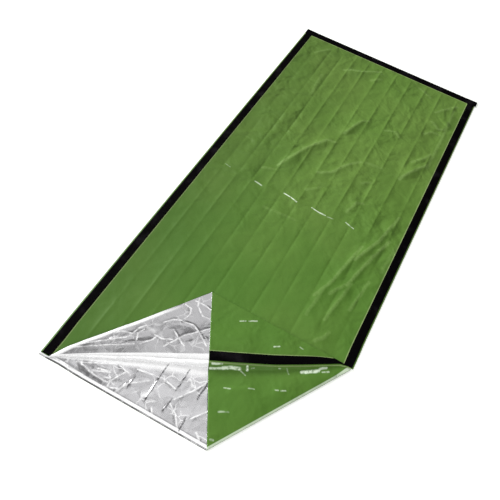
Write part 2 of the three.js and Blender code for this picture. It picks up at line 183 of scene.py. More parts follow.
@dataclass(frozen=True)
class Crumple:
    """Short crisp creases scattered at random over an area, all in millimetres.

    The area is its lowest u, lowest v, highest u and highest v. A crease has at most the given
    height, reach and length, and the pairs are the least and the greatest share of each.
    """

    count: int
    seed: int
    area: Numbers
    height: float
    reach: float
    length: float
    lengths: Spot = (0.3, 1.0)
    bends: Spot = (-0.25, 0.25)
    heights: Spot = (0.35, 1.0)
    senses: Numbers = (1.0, 1.0, -0.7)
    reaches: Spot = (0.5, 1.0)

    def creases(self) -> tuple[Wrinkle, ...]:
        """Draws the creases.

        Returns:
            The creases, always the same ones for a seed.
        """
        draw = np.random.default_rng(self.seed)
        creases = []
        for _ in range(self.count):
            u, v = draw.uniform(*self.area[0::2]), draw.uniform(*self.area[1::2])
            turn = draw.uniform(0.0, math.pi)
            half = self.length * draw.uniform(*self.lengths) / 2
            bent = turn + draw.uniform(*self.bends)
            knee = (u + half * math.cos(turn), v + half * math.sin(turn))
            tip = (knee[0] + half * math.cos(bent), knee[1] + half * math.sin(bent))
            rise = self.height * draw.uniform(*self.heights) * draw.choice(self.senses)
            reach = self.reach * draw.uniform(*self.reaches)
            creases.append(Wrinkle(((u, v), knee, tip), rise, reach, True))
        return tuple(creases)


@dataclass(frozen=True)
class Mark:
    """A narrow painted mark of light or shade on the film, along a few flat places in millimetres.

    It is full in its core, which is a share of its reach, and fades out at its reach.
    """

    points: tuple[Spot, ...]
    reach: float
    strength: float
    core: float = 0.3


def folds(*rows: tuple, crisp: bool = False) -> tuple[Wrinkle, ...]:
    """Wrinkles from rows of their points, height and reach."""
    return tuple(Wrinkle(tuple(points), height, reach, crisp) for *points, height, reach in rows)


def marks(*rows: tuple) -> tuple[Mark, ...]:
    """Marks from rows of their points, reach and strength."""
    return tuple(Mark(tuple(points), reach, strength) for *points, reach, strength in rows)


def traced(wrinkles: tuple[Wrinkle, ...], reach: float, strength: float) -> tuple[Mark, ...]:
    """Marks that follow wrinkles, all of one reach and strength."""
    return tuple(Mark(w.points, reach, strength) for w in wrinkles)


def total_rise(wrinkles: tuple[Wrinkle, ...], u: Reading, v: Reading) -> Reading:
    """Sum of the heights of several wrinkles at flat places."""
    return sum((w.rise(u, v) for w in wrinkles), np.zeros(np.shape(u)))


# Long creases from packing, across the panel, in millimetres
PACKING_CREASES = (94.0, 166.0, 230.0, 294.0, 364.0, 438.0, 511.0, 587.0, 667.0, 744.0, 826.0)

# Folds of the top panel's main layer, traced from the photograph; the first few are broad and dull
BROAD_FOLDS = 10
TOP_WRINKLES = folds(
    ((296, 1150), (338, 1320), (396, 1440), (452, 1510), 5.2, 24),
    ((440, 1500), (470, 1620), (520, 1710), 4.2, 22),
    ((520, 1400), (440, 1250), (400, 1120), 3.2, 26), ((815, 1610), (745, 1410), 5.0, 24),
    ((820, 1230), (735, 830), 3.4, 26), ((275, 1925), (490, 2030), 5.8, 24),
    ((735, 1830), (850, 1890), 4.6, 22), ((170, 1400), (115, 1010), 1.8, 26),
    ((560, 900), (470, 640), 1.8, 26), ((250, 800), (190, 470), 1.4, 24),
    ((282, 1939), (361, 1977), (437, 2046), 4.5, 14),
    ((448, 1533), (484, 1648), (512, 1672), 3.9, 10), ((442, 1504), (499, 1579), -3.0, 12),
    ((285, 1187), (331, 1313), (365, 1388), (401, 1443), (437, 1455), 4.6, 15),
    ((442, 1244), (490, 1278), (535, 1364), (576, 1413), 4.2, 13),
    ((626, 1302), (657, 1328), 3.0, 10), ((598, 1663), (641, 1682), (667, 1661), 3.8, 10),
    ((759, 1757), (787, 1787), (823, 1793), 3.6, 10),
    ((761, 1850), (807, 1822), (833, 1841), 4.0, 10),
    ((761, 1929), (796, 1982), (839, 2036), 3.6, 10),
    ((753, 1417), (779, 1479), (832, 1570), 4.8, 12),
    ((767, 1548), (809, 1604), (825, 1649), 3.6, 10), ((597, 1423), (665, 1431), 2.6, 10),
    ((636, 2052), (670, 2032), (708, 2015), 3.0, 10), ((107, 1978), (159, 2050), 2.8, 10),
    ((215, 1690), (203, 1838), 2.4, 11),
    ((831, 1997), (836, 1895), (838, 1745), (837, 1555), 3.2, 9),
    ((420, 1946), (459, 1987), 3.0, 10), ((237, 1139), (286, 1159), 2.6, 10),
    ((629, 1118), (645, 1186), (671, 1199), 3.2, 10),
    ((746, 917), (795, 1052), (825, 1216), 4.4, 14), ((762, 793), (802, 969), (833, 1078), 4.4, 13),
    ((722, 724), (757, 790), 3.0, 11), ((676, 688), (705, 764), (747, 989), 3.8, 13),
    ((856, 920), (864, 1077), 2.0, 9), ((441, 1131), (485, 1176), 2.6, 10),
    ((336, 954), (468, 963), 2.0, 11), ((752, 520), (774, 546), (784, 575), 3.0, 10),
    ((748, 615), (762, 706), (775, 807), 3.0, 11), ((684, 598), (690, 672), (697, 744), 2.4, 11),
    ((812, 702), (822, 775), (830, 855), 3.0, 10), ((565, 489), (636, 478), (666, 474), 2.2, 10),
)

# Small folds of the bottom panel's turned-up corner, by the place where they lie in the bag
CORNER_WRINKLES = folds(
    ((568, 203), (590, 211), (638, 245), (669, 254), 1.6, 9), ((707, 277), (743, 294), 1.4, 8),
    ((594, 124), (620, 139), 1.6, 9), ((600, 40), (628, 60), 1.4, 9),
)

# Sharp folds of the turned-back silver flap, by the place where they lie in the bag
FLAP_WRINKLES = folds(
    ((278, 245), (306, 243), (339, 258), 1.5, 9), ((330, 224), (365, 293), (430, 366), 1.5, 9),
    ((323, 296), (350, 276), (385, 256), 1.4, 9),
    ((332, 342), (371, 346), (402, 329), (448, 293), 1.5, 9),
    ((184, 204), (215, 211), (223, 245), (237, 264), 1.4, 9),
    ((241, 194), (230, 223), (241, 247), 1.4, 9), ((258, 191), (285, 228), (288, 242), 1.3, 9),
    ((303, 405), (328, 401), (338, 378), (331, 356), 1.4, 8),
    ((329, 435), (367, 436), (395, 430), 1.4, 8),
    ((334, 452), (345, 422), (377, 395), (413, 397), 1.4, 8),
    ((280, 304), (302, 332), (326, 343), 1.3, 9), ((47, 52), (241, 181), 1.2, 9),
    ((59, 66), (220, 202), 1.1, 9), ((60, 76), (180, 202), 1.1, 9),
    crisp=True,
)

# Small sharp folds of the top panel's corner, turned twice, by the place where they lie
LAP_WRINKLES = folds(
    ((496, 446), (548, 479), 1.8, 6), ((638, 416), (659, 431), 1.6, 6),
    ((715, 465), (736, 472), 1.4, 6),
    crisp=True,
)

# Sharp folds of the silver floor of the mouth; the first few are darkened by painted shade, and the
# last is soft
FLOOR_SHADOWS = 6
FLOOR_WRINKLES = folds(
    ((304, 45), (302, 97), 1.5, 6), ((373, 39), (372, 126), (373, 179), 1.8, 7),
    ((439, 119), (441, 203), 1.4, 6), ((514, 128), (512, 194), 1.3, 6),
    ((439, 37), (442, 89), 1.4, 6), ((514, 10), (510, 60), 1.4, 6),
    ((299, 115), (384, 132), (439, 123), 3.0, 9), ((123, 40), (175, 32), (233, 33), 3.4, 9),
    ((176, 39), (228, 63), 2.4, 8), ((279, 16), (295, 59), (348, 103), 3.2, 10),
    ((450, 90), (490, 151), (511, 193), 2.6, 9), ((525, 60), (559, 108), 2.4, 8),
    ((444, 72), (478, 51), (504, 16), 2.4, 8), ((402, 33), (420, 11), 2.0, 8),
    ((563, 33), (588, 13), 2.2, 8), ((243, 95), (289, 89), 2.6, 8), ((190, 53), (227, 66), 2.4, 7),
    ((236, 13), (279, 30), 2.4, 8), ((239, 34), (272, 93), 2.6, 8),
    crisp=True,
) + folds(((120, 35), (475, 222), 2.4, 14))

# Painted grey shade streaks on the mouth's silver floor, beside its left corner
FLOOR_STREAKS = marks(
    ((41, 10), (71, 13), 5.0, 0.40), ((100, 16), (155, 20), (237, 20), 9.0, 0.42),
    ((143, 48), (175, 43), 11.0, 0.45), ((188, 36), (231, 38), 7.0, 0.40),
    ((244, 47), (285, 64), 8.0, 0.35), ((187, 58), (225, 68), 5.0, 0.35),
)

# Glints on the top panel's green side: along the cross crease, and at creases of its turned corner
TOP_GLINTS = marks(
    ((98, 1072), (124, 1065), 3.0, 0.25), ((246, 1053), (279, 1048), 3.8, 0.55),
    ((375, 1064), (408, 1059), (435, 1050), 4.2, 0.95),
    ((501, 1059), (533, 1052), (562, 1052), 4.0, 0.85), ((571, 1050), (595, 1053), 3.2, 0.30),
    ((647, 1068), (684, 1054), 3.8, 0.60), ((843, 219), (840, 238), 4.0, 0.60),
    ((838, 309), (845, 319), 3.4, 0.35), ((741, 104), (740, 123), 3.2, 0.60),
    ((740, 135), (738, 163), 3.4, 0.65),
)

# Glints on the bottom panel's green side, at creases of its turned-up corner
BOTTOM_GLINTS = marks(
    ((905, 13), (906, 20), (907, 43), 6.0, 0.85), ((888, 6), (889, 26), (895, 70), 6.4, 0.85),
    ((892, 48), (896, 76), (894, 103), 9.0, 1.0), ((904, 128), (889, 129), 5.4, 1.0),
    ((886, 108), (870, 122), 3.6, 0.45), ((897, 144), (899, 152), 3.2, 0.35),
    ((902, 235), (902, 241), 3.2, 0.45), ((903, 262), (880, 268), 3.0, 0.25),
    ((887, 313), (892, 369), 8.5, 1.0), ((892, 369), (900, 378), (902, 399), 5.6, 0.85),
    ((888, 383), (890, 406), 3.6, 0.50), ((821, 51), (818, 71), 3.4, 0.45),
    ((822, 131), (820, 150), 3.4, 0.35), ((820, 219), (819, 228), 3.6, 0.45),
    ((818, 237), (820, 253), 3.6, 0.50), ((740, 34), (741, 51), 4.6, 0.40),
    ((740, 55), (740, 66), 4.0, 0.20), ((652, 10), (651, 18), 5.0, 0.45),
)


@dataclass(frozen=True)
class Profile:
    """A rounded section through a bend, from a few corner points, read by distance along it."""

    corners: tuple[Spot, ...]
    seam: Spot
    rounds: int = 3
    cut: float = 0.25

    def curve(self) -> tuple[Reading, Reading, Reading]:
        """Samples of the section, whose corners are cut off a few times.

        Returns:
            Distance along it from the point nearest to the seam, and its two coordinates.
        """
        points = np.array(self.corners)
        for _ in range(self.rounds):
            a, b = points[:-1], points[1:]
            near, far = a * (1 - self.cut) + b * self.cut, a * self.cut + b * (1 - self.cut)
            inner = np.stack((near, far), axis=1).reshape(-1, 2)
            points = np.concatenate((points[:1], inner, points[-1:]))
        run = np.concatenate(((0.0,), np.cumsum(np.hypot(*np.diff(points, axis=0).T))))
        at_seam = np.argmin(np.hypot(points[:, 0] - self.seam[0], points[:, 1] - self.seam[1]))
        return run - run[at_seam], points[:, 0], points[:, 1]


@dataclass(frozen=True)
class BagForm:
    """Sizes of the bag, and the maps that lay its flat panels where they lie."""

    # The flat bag, its seals and its tapes
    width: float = 0.910
    length: float = 2.130
    tab: float = 0.005
    tape_width: float = 0.031
    foot_tape_width: float = 0.036
    seal_margin: float = 0.005
    seal_flat: float = 0.038
    rim_step: float = 0.012
    # The folded mouth
    fold_start: float = 0.036
    fold_height: float = 0.490
    # Heights of the lying panels, and the slack film between their seals
    bottom_z: float = 0.0005
    seam_z: float = 0.0021
    crown: float = 0.0050
    mouth_rise: float = 0.0045
    side_ramp: float = 0.180
    foot_ramp: float = 0.150
    mouth_ramp: float = 0.260
    # Radii of the bends
    ridge_start_r: float = 0.0016
    ridge_mid_r: float = 0.017
    ridge_end_r: float = 0.0021
    lap_start_r: float = 0.0009
    lap_end_r: float = 0.0024
    corner_r: float = 0.00185
    # How the turned-back flap lies
    flap_rest: float = 0.0020
    flap_rest_taped: float = 0.0042
    taped_reach: float = 0.090
    flap_settle: float = 0.160
    slack_reach: float = 0.120
    flap_draw: float = 0.957
    flap_skew: float = 0.023
    flap_flare: float = 0.011
    flare_start: float = 0.030
    flare_reach: float = 0.110
    flap_clear: float = 0.040
    seam_clear: float = 0.060
    sharp_start: float = 0.020
    # How the twice-turned corner and the turned-up corner lie
    lap_rest: float = 0.0022
    lap_settle: float = 0.060
    corner_bulge: float = 0.005
    bulge_ramp: float = 0.200
    # How far the fold-back line bows, by places along it
    bow: tuple[Spot, ...] = (
        (0.0, 0.002), (0.033, 0.005), (0.157, 0.008), (0.316, 0.007), (0.495, 0.0), (0.600, -0.003),
        (0.724, -0.004), (0.800, 0.000), (0.855, 0.004), (0.905, 0.008), (0.952, 0.012),
        (0.980, 0.006), (0.996, 0.0))
    bow_reach: float = 0.070
    bow_share: float = 0.5
    bow_least: float = 0.002
    roll: Profile = Profile(
        ((0.015, 0.0015), (-0.012, 0.0015), (-0.0175, 0.0035), (-0.013, 0.011), (-0.0035, 0.0225),
         (0.007, 0.0275), (0.021, 0.0295), (0.036, 0.0285)), (-0.0035, 0.0215))
    wall: Profile = Profile(
        ((-0.0046, 0.0194), (-0.0100, 0.0140), (-0.0155, 0.0078), (-0.0200, 0.0016), (-0.0260, 0.0),
         (-0.0400, 0.0)), (-0.0046, 0.0194))
    slope_step: float = 0.0005
    # Relief of the top panel, which fades out at the seams and at the fold-back line
    seam_fade: float = 0.020
    ridge_clear: float = 0.040
    ridge_fade: float = 0.060
    pleat_rise: float = 0.0004
    flap_pleat_rise: float = 0.0006
    cross_crease: float = 1.053
    cross_rise: float = 0.0016
    cross_half: float = 0.007
    # Packing creases: their height, where they gain it, and their waves along the panel, which are
    # given by a pitch, what each further crease adds to it, and its phase
    packing_rise: float = 0.0027
    packing_half: float = 0.0075
    packing_turn: float = 0.015
    near_packing: float = 0.50
    packing_start: float = 0.500
    packing_ramp: float = 0.900
    packing_swell: float = 0.28
    packing_drift: float = 0.001
    swell_waves: Spot3 = (11.0, 1.9, 2.3)
    drift_waves: Spot3 = (3.0, 0.4, 1.7)
    turned_crease: float = 0.290
    # Relief of the bottom panel, which fades out beyond the mouth, at the foot and at its corner
    floor_strips: int = 12
    floor_crease_rise: float = 0.0009
    floor_crease_half: float = 0.014
    floor_fade: float = 0.040
    foot_fade: float = 0.060
    corner_fade: float = 0.030
    # Pleats of the flap: angle off the fold-back line in degrees, start, end, height and reach
    fan_pleats: tuple[Numbers, ...] = (
        (8.0, 0.060, 0.300, 0.0040, 0.011), (15.0, 0.090, 0.320, 0.0032, 0.012),
        (23.0, 0.100, 0.250, 0.0036, 0.013))
    fan_ends: float = 3.0
    fan_start: float = 0.5

    @property
    def shift(self) -> Spot:
        """Where the flat origin lies in the frame."""
        return -(self.width + self.tab) / 2, -self.length / 2

    @property
    def tape_edge(self) -> float:
        """Inner edge of a side tape, from its own side of the bag."""
        return self.seal_margin + self.tape_width

    @property
    def ridge(self) -> FoldLine:
        """The line on which the top panel turns back."""
        start = self.fold_start
        return FoldLine((start, self.rim(start)), (self.width, self.fold_height))

    @property
    def seam_turn(self) -> float:
        """Angle between the right side and the fold-back line."""
        return QUARTER_TURN - math.atan2(self.ridge.run[1], self.ridge.run[0])

    @property
    def corner(self) -> FoldLine:
        """The line on which both panels' corners turn."""
        u = self.width - self.fold_height * math.tan(self.seam_turn / 2)
        return FoldLine((u, 0.0), (self.width, self.fold_height))

    @property
    def seam_end(self) -> float:
        """Where the folded seam ends, along the fold-back line."""
        return self.ridge.length - self.fold_height

    def rim(self, u: Reading) -> Reading:
        """Distance of the top panel's rim from the mouth, which steps back to the left."""
        return self.rim_step * (1.0 - u / self.width)

    def ridge_radius(self, along: Reading) -> Reading:
        """Radius of the fold-back bend: a slim cone from each side."""
        return np.interp(along, (0.0, self.seam_end, self.ridge.length),
                         (self.ridge_start_r, self.ridge_mid_r, self.ridge_end_r))

    def pleat(self, u: Reading) -> Reading:
        """Long creases that stand up and down in turn, from -1 to 1."""
        places = np.array((0.0, *PACKING_CREASES, self.width / MM)) * MM
        return np.interp(u, places, [(-1.0) ** i for i in range(len(places))])

    def floor_crease(self, u: Reading) -> Reading:
        """Height of the narrow raised creases in the bottom panel.

        Args:
            u: Metres across the panel.

        Returns:
            The height of the crease nearest to each place.
        """
        strip = self.width / self.floor_strips
        nearest = np.clip(np.round(u / strip), 1, self.floor_strips - 1) * strip
        return self.floor_crease_rise * tent(np.abs(u - nearest) / self.floor_crease_half)

    def top_height(self, u: Reading, v: Reading) -> Reading:
        """Height of the top panel's main layer without its creases.

        Args:
            u: Metres across the panel.
            v: Metres from the mouth.

        Returns:
            The height, low at the seals and crowned between them.
        """
        side = smooth((np.minimum(u, self.width - u) - self.seal_flat) / self.side_ramp)
        foot = smooth((self.length - v - self.seal_flat) / self.foot_ramp)
        inward = smooth(self.ridge.off(u, v) / self.mouth_ramp)
        return self.seam_z + side * foot * mix(self.mouth_rise, self.crown, inward)

    def top_relief(self, u: Reading, v: Reading) -> Reading:
        """Creases and folds of the top panel's main layer.

        Args:
            u: Metres across the panel.
            v: Metres from the mouth.

        Returns:
            The height that they add.
        """
        inside = np.minimum(np.minimum(u, self.width - u), self.length - v)
        seam = smooth((inside - self.seal_flat) / self.seam_fade)
        ridge = smooth((self.ridge.off(u, v) - self.ridge_clear) / self.ridge_fade)
        cross = self.cross_rise * tent(np.abs(v - self.cross_crease) / self.cross_half)
        traced_folds = self.packing_relief(u, v) + cross + total_rise(TOP_WRINKLES, u, v)
        return seam * ridge * (self.pleat_rise * self.pleat(u) + traced_folds)

    def packing_relief(self, u: Reading, v: Reading) -> Reading:
        """Narrow ridges and grooves left by packing, which change places at the cross crease.

        Args:
            u: Metres across the panel.
            v: Metres from the mouth.

        Returns:
            The height that they add.
        """
        beyond = np.tanh((v - self.cross_crease) / self.packing_turn)
        gained = smooth((v - self.packing_start) / self.packing_ramp)
        strength = mix(self.near_packing, 1.0, gained)
        rise = np.zeros(np.shape(u))
        for i, place in enumerate(np.array(PACKING_CREASES) * MM):
            side = 1.0 if place > self.turned_crease else -1.0
            swell_wave, drift_wave = (
                np.sin(v * (pitch + added * i) + phase * i)
                for pitch, added, phase in (self.swell_waves, self.drift_waves))
            swell = strength * (1.0 - self.packing_swell + self.packing_swell * swell_wave)
            across = np.abs(u - place - self.packing_drift * drift_wave) / self.packing_half
            rise += side * beyond * swell * self.packing_rise * tent(across)
        return rise

    def fan_relief(self, along: Reading, away: Reading) -> Reading:
        """Pleats of the turned-back flap that fan out from the mouth's left corner.

        Args:
            along: Distance along the fold-back line.
            away: Distance from the bend into the flap.

        Returns:
            The height that they add.
        """
        z = np.zeros(np.shape(along))
        for degrees, start, end, height, reach in self.fan_pleats:
            turn = math.radians(degrees)
            far = along * math.cos(turn) + away * math.sin(turn)
            off = away * math.cos(turn) - along * math.sin(turn)
            span = (far - start) / (end - start)
            taper = smooth(np.minimum(span, 1.0 - span) * self.fan_ends + self.fan_start)
            z = z + height * taper * np.exp(-((off / reach) ** 2))
        return z

    def fold_back(self, along: Reading, off: Reading, silver: Reading) -> Place:
        """Lays points of the top panel, turned back over the fold-back line.

        Args:
            along: Distance along the line.
            off: Distance off the line in the flat sheet.
            silver: Height on the panel's silver side.

        Returns:
            The places u, v and z.
        """
        size = self.ridge_radius(along) / self.ridge_mid_r
        run, rolled, risen = self.roll.curve()
        first, last = -run[0] * size, -run[-1] * size
        beyond = smooth((off - first) / self.slack_reach)
        spent = (first - rolled[0] * size) * (1.0 - beyond)
        main_u, main_v = self.ridge.point(along, off - spent)
        lying = self.top_height(main_u, main_v) + self.top_relief(main_u, main_v)
        rise = np.maximum(lying, self.seam_z)
        main_z = mix(self.seam_z + risen[0] * size, rise, beyond) - silver

        share = -off / size
        ahead, behind = share + self.slope_step, share - self.slope_step
        lean = np.arctan2(np.interp(ahead, run, risen) - np.interp(behind, run, risen),
                          np.interp(ahead, run, rolled) - np.interp(behind, run, rolled))
        reach, height = np.interp(share, run, rolled) * size, np.interp(share, run, risen) * size
        bend_u, bend_v = self.ridge.point(along, reach - silver * np.sin(lean))
        bend_z = self.seam_z + height + silver * np.cos(lean)

        away = last - off
        left = self.ridge.length - along
        flare = self.flap_flare * smooth(away / self.flare_start) * np.exp(
            -np.maximum(along, 0.0) / self.flare_reach)
        flap_u, flap_v = self.ridge.point(along + away * self.flap_skew,
                                          rolled[-1] * size + away * self.flap_draw + flare)
        taped = smooth((self.taped_reach - left) / (self.taped_reach / 2))
        rest = self.top_height(flap_u, flap_v) + mix(self.flap_rest, self.flap_rest_taped, taped)
        crest = np.maximum(self.seam_z + risen[-1] * size, rest)
        pleats = self.fan_relief(along, away) + self.flap_pleat_rise * (1.0 + self.pleat(main_u))
        sharp = total_rise(FLAP_WRINKLES + LAP_WRINKLES + FLAP_CRUMPLE, flap_u, flap_v)
        free = smooth(away / self.flap_clear) * smooth((left - self.seam_clear) / self.seam_clear)
        creases = free * (pleats + sharp * smooth(away / self.sharp_start))
        flap_z = mix(crest, rest, smooth(away / self.flap_settle)) + creases + silver
        return choose(off >= first, off > last, (main_u, main_v, main_z), (bend_u, bend_v, bend_z),
                      (flap_u, flap_v, flap_z))

    def top_place(self, u: Reading, v: Reading) -> Place:
        """Lays points of the top panel: over the corner line first, and then over the ridge.

        Args:
            u: Metres across the panel.
            v: Metres from the mouth.

        Returns:
            The places u, v and z.
        """
        along, off = self.corner.read(u, v)
        radius = mix(self.lap_end_r, self.lap_start_r, np.clip(along / self.corner.length, 0.0, 1.0))
        half = QUARTER_TURN * radius
        turn = np.clip((half - off) / radius, 0.0, math.pi)
        rest = np.minimum(self.lap_rest, 2 * radius)
        turned = mix(2 * radius, rest, smooth((-off - half) / self.lap_settle))
        near, silver = choose(off >= half, off > -half, (off, 0.0),
                              (half - radius * np.sin(turn), radius * (1 - np.cos(turn))),
                              (-off, turned))
        lapped = self.corner.point(along, near)
        return self.bowed(*self.fold_back(*self.ridge.read(*lapped), silver))

    def flap_spot(self, laid: Spot, rounds: int = 20) -> Spot:
        """Finds the flat place of the flap's film from the place where it lies, in millimetres.

        Args:
            laid: The place where it lies.
            rounds: How often the guess is mended.

        Returns:
            The flat place.
        """
        ridge = self.ridge
        goal = laid[0] * MM, laid[1] * MM
        along, off = ridge.along(*goal), -ridge.off(*goal)
        for _ in range(rounds):
            u, v, _ = self.top_place(*(np.array([x]) for x in ridge.point(along, off)))
            along += ridge.along(*goal) - ridge.along(u[0], v[0])
            off -= ridge.off(*goal) - ridge.off(u[0], v[0])
        u, v = ridge.point(along, off)
        return u / MM, v / MM

    def bowed(self, u: Reading, v: Reading, z: Reading) -> Place:
        """Moves laid points with the fold-back line, which isn't quite straight.

        Args:
            u: Where they lie across the bag.
            v: Where they lie along the bag.
            z: Their height.

        Returns:
            The places u, v and z.
        """
        along, off = self.ridge.read(u, v)
        places, shifts = zip(*self.bow)
        reach = np.clip(self.bow_share * (self.ridge.length - along), self.bow_least, self.bow_reach)
        moved = off + np.interp(along, places, shifts) * smooth(1.0 - np.abs(off) / reach)
        return (*self.ridge.point(along, moved), z)

    def floor_relief(self, u: Reading, v: Reading) -> Reading:
        """Folds of the bottom panel where it lies on the ground.

        Args:
            u: Metres across the panel.
            v: Metres from the mouth.

        Returns:
            The height that they add, which is never negative.
        """
        mouth = total_rise(FLOOR_WRINKLES + FLOOR_CRUMPLE, u, v)
        inside = smooth(self.ridge.off(u, v) / self.floor_fade)
        foot = smooth((self.length - v - self.seal_flat) / self.foot_fade)
        return np.maximum(mix(mouth, 0.0, inside), 0.0) + foot * self.floor_crease(u)

    def bottom_place(self, u: Reading, v: Reading) -> Place:
        """Lays points of the bottom panel, whose corner turns up and climbs to the folded seam.

        Args:
            u: Metres across the panel.
            v: Metres from the mouth.

        Returns:
            The places u, v and z.
        """
        along, off = self.corner.read(u, v)
        radius = self.corner_r
        half = QUARTER_TURN * radius
        flat_z = self.bottom_z + self.floor_relief(u, v) * smooth((off - half) / self.corner_fade)

        turn = (half - off) / radius
        bend_u, bend_v = self.corner.point(along, half - radius * np.sin(turn))
        bend_z = self.bottom_z + radius * (1.0 - np.cos(turn))

        from_seam = self.width - u
        down_seam = self.fold_height - v
        ridge_along = self.ridge.length - down_seam
        size = self.ridge_radius(ridge_along) / self.ridge_mid_r
        run, reach, height = self.wall.curve()
        low_z = self.bottom_z + 2 * radius
        drop = np.maximum(self.seam_z + self.roll.seam[1] * size - low_z, 0.0)
        fold_at = np.maximum(down_seam * math.tan(self.seam_turn / 2), MM)
        wall = run[-1] * size
        beyond = np.clip((from_seam - wall) / np.maximum(fold_at - wall, MM), 0.0, 1.0)
        bulge = self.corner_bulge * np.sin(math.pi * beyond) * smooth(down_seam / self.bulge_ramp)
        climbs = from_seam < wall
        line = np.where(climbs, np.interp(from_seam / size, run, reach) * size,
                        -from_seam + (wall + reach[-1] * size) * (1.0 - beyond))
        lift = np.where(climbs, np.interp(from_seam / size, run, height) / height[0], 0.0)
        turned_u, turned_v = self.ridge.point(ridge_along, line)
        turned_z = low_z + drop * lift + bulge + total_rise(CORNER_WRINKLES, turned_u, turned_v)
        return self.bowed(*choose(off >= half, off > -half, (u, v, flat_z), (bend_u, bend_v, bend_z),
                                  (turned_u, turned_v, turned_z)))


FLAP_CRUMPLE = (Crumple(46, 11, (120, 120, 480, 470), 1.2, 8.0, 55.0).creases()
                + Crumple(34, 7, (250, 260, 450, 480), 1.8, 8.0, 45.0).creases())
FLOOR_CRUMPLE = Crumple(60, 23, (60, 5, 600, 260), 1.2, 8.0, 55.0).creases()
FORM = BagForm()


class Side(Enum):
    """The two faces of a sheet as it lies flat, as material indices on its piece."""

    UPPER = 0
    UNDER = 1


class Value:
    """A socket of a material's nodes on which Python's operators add Math nodes."""

    def __init__(self, bench: "Bench", socket: bpy.types.NodeSocket) -> None:
        """Wraps one output socket of a bench."""
        self.bench = bench
        self.socket = socket

    def _do(self, operation: str, first: Input, second: Input = 0.0) -> "Value":
        """One Math node on two values."""
        return self.bench.add("ShaderNodeMath", {"operation": operation}, {0: first, 1: second})

    def __add__(self, other: Input) -> "Value":
        """Sum."""
        return self._do("ADD", self, other)

    __radd__ = __add__

    def __sub__(self, other: Input) -> "Value":
        """Difference."""
        return self._do("SUBTRACT", self, other)

    def __rsub__(self, other: Input) -> "Value":
        """Difference from a number."""
        return self._do("SUBTRACT", other, self)

    def __mul__(self, other: Input) -> "Value":
        """Product."""
        return self._do("MULTIPLY", self, other)

    __rmul__ = __mul__

    def __truediv__(self, other: Input) -> "Value":
        """Quotient."""
        return self._do("DIVIDE", self, other)

    def __abs__(self) -> "Value":
        """Size without its sign."""
        return self._do("ABSOLUTE", self)

    def wave(self) -> "Value":
        """Sine of an angle in radians."""
        return self._do("SINE", self)

    def zigzag(self, span: float) -> "Value":
        """Straight climb to a span and back, over and over."""
        return self._do("PINGPONG", self, span)

    def least(self, other: Input) -> "Value":
        """The smaller of two values."""
        return self._do("MINIMUM", self, other)

    def most(self, other: Input) -> "Value":
        """The larger of two values."""
        return self._do("MAXIMUM", self, other)

    def ramp(self, low: float, high: float, start: float = 0.0, end: float = 1.0) -> "Value":
        """Smooth change from start to end as the value goes from low to high."""
        return self.bench.add(
            "ShaderNodeMapRange", {"interpolation_type": "SMOOTHSTEP"},
            {"Value": self, "From Min": low, "From Max": high, "To Min": start, "To Max": end})

    def band(self, middle: float, core: float, edge: float, strength: float) -> "Value":
        """A band round a middle, full to its core's half-width and gone at its edge's."""
        return abs(self - middle).ramp(core, edge, strength, 0.0)


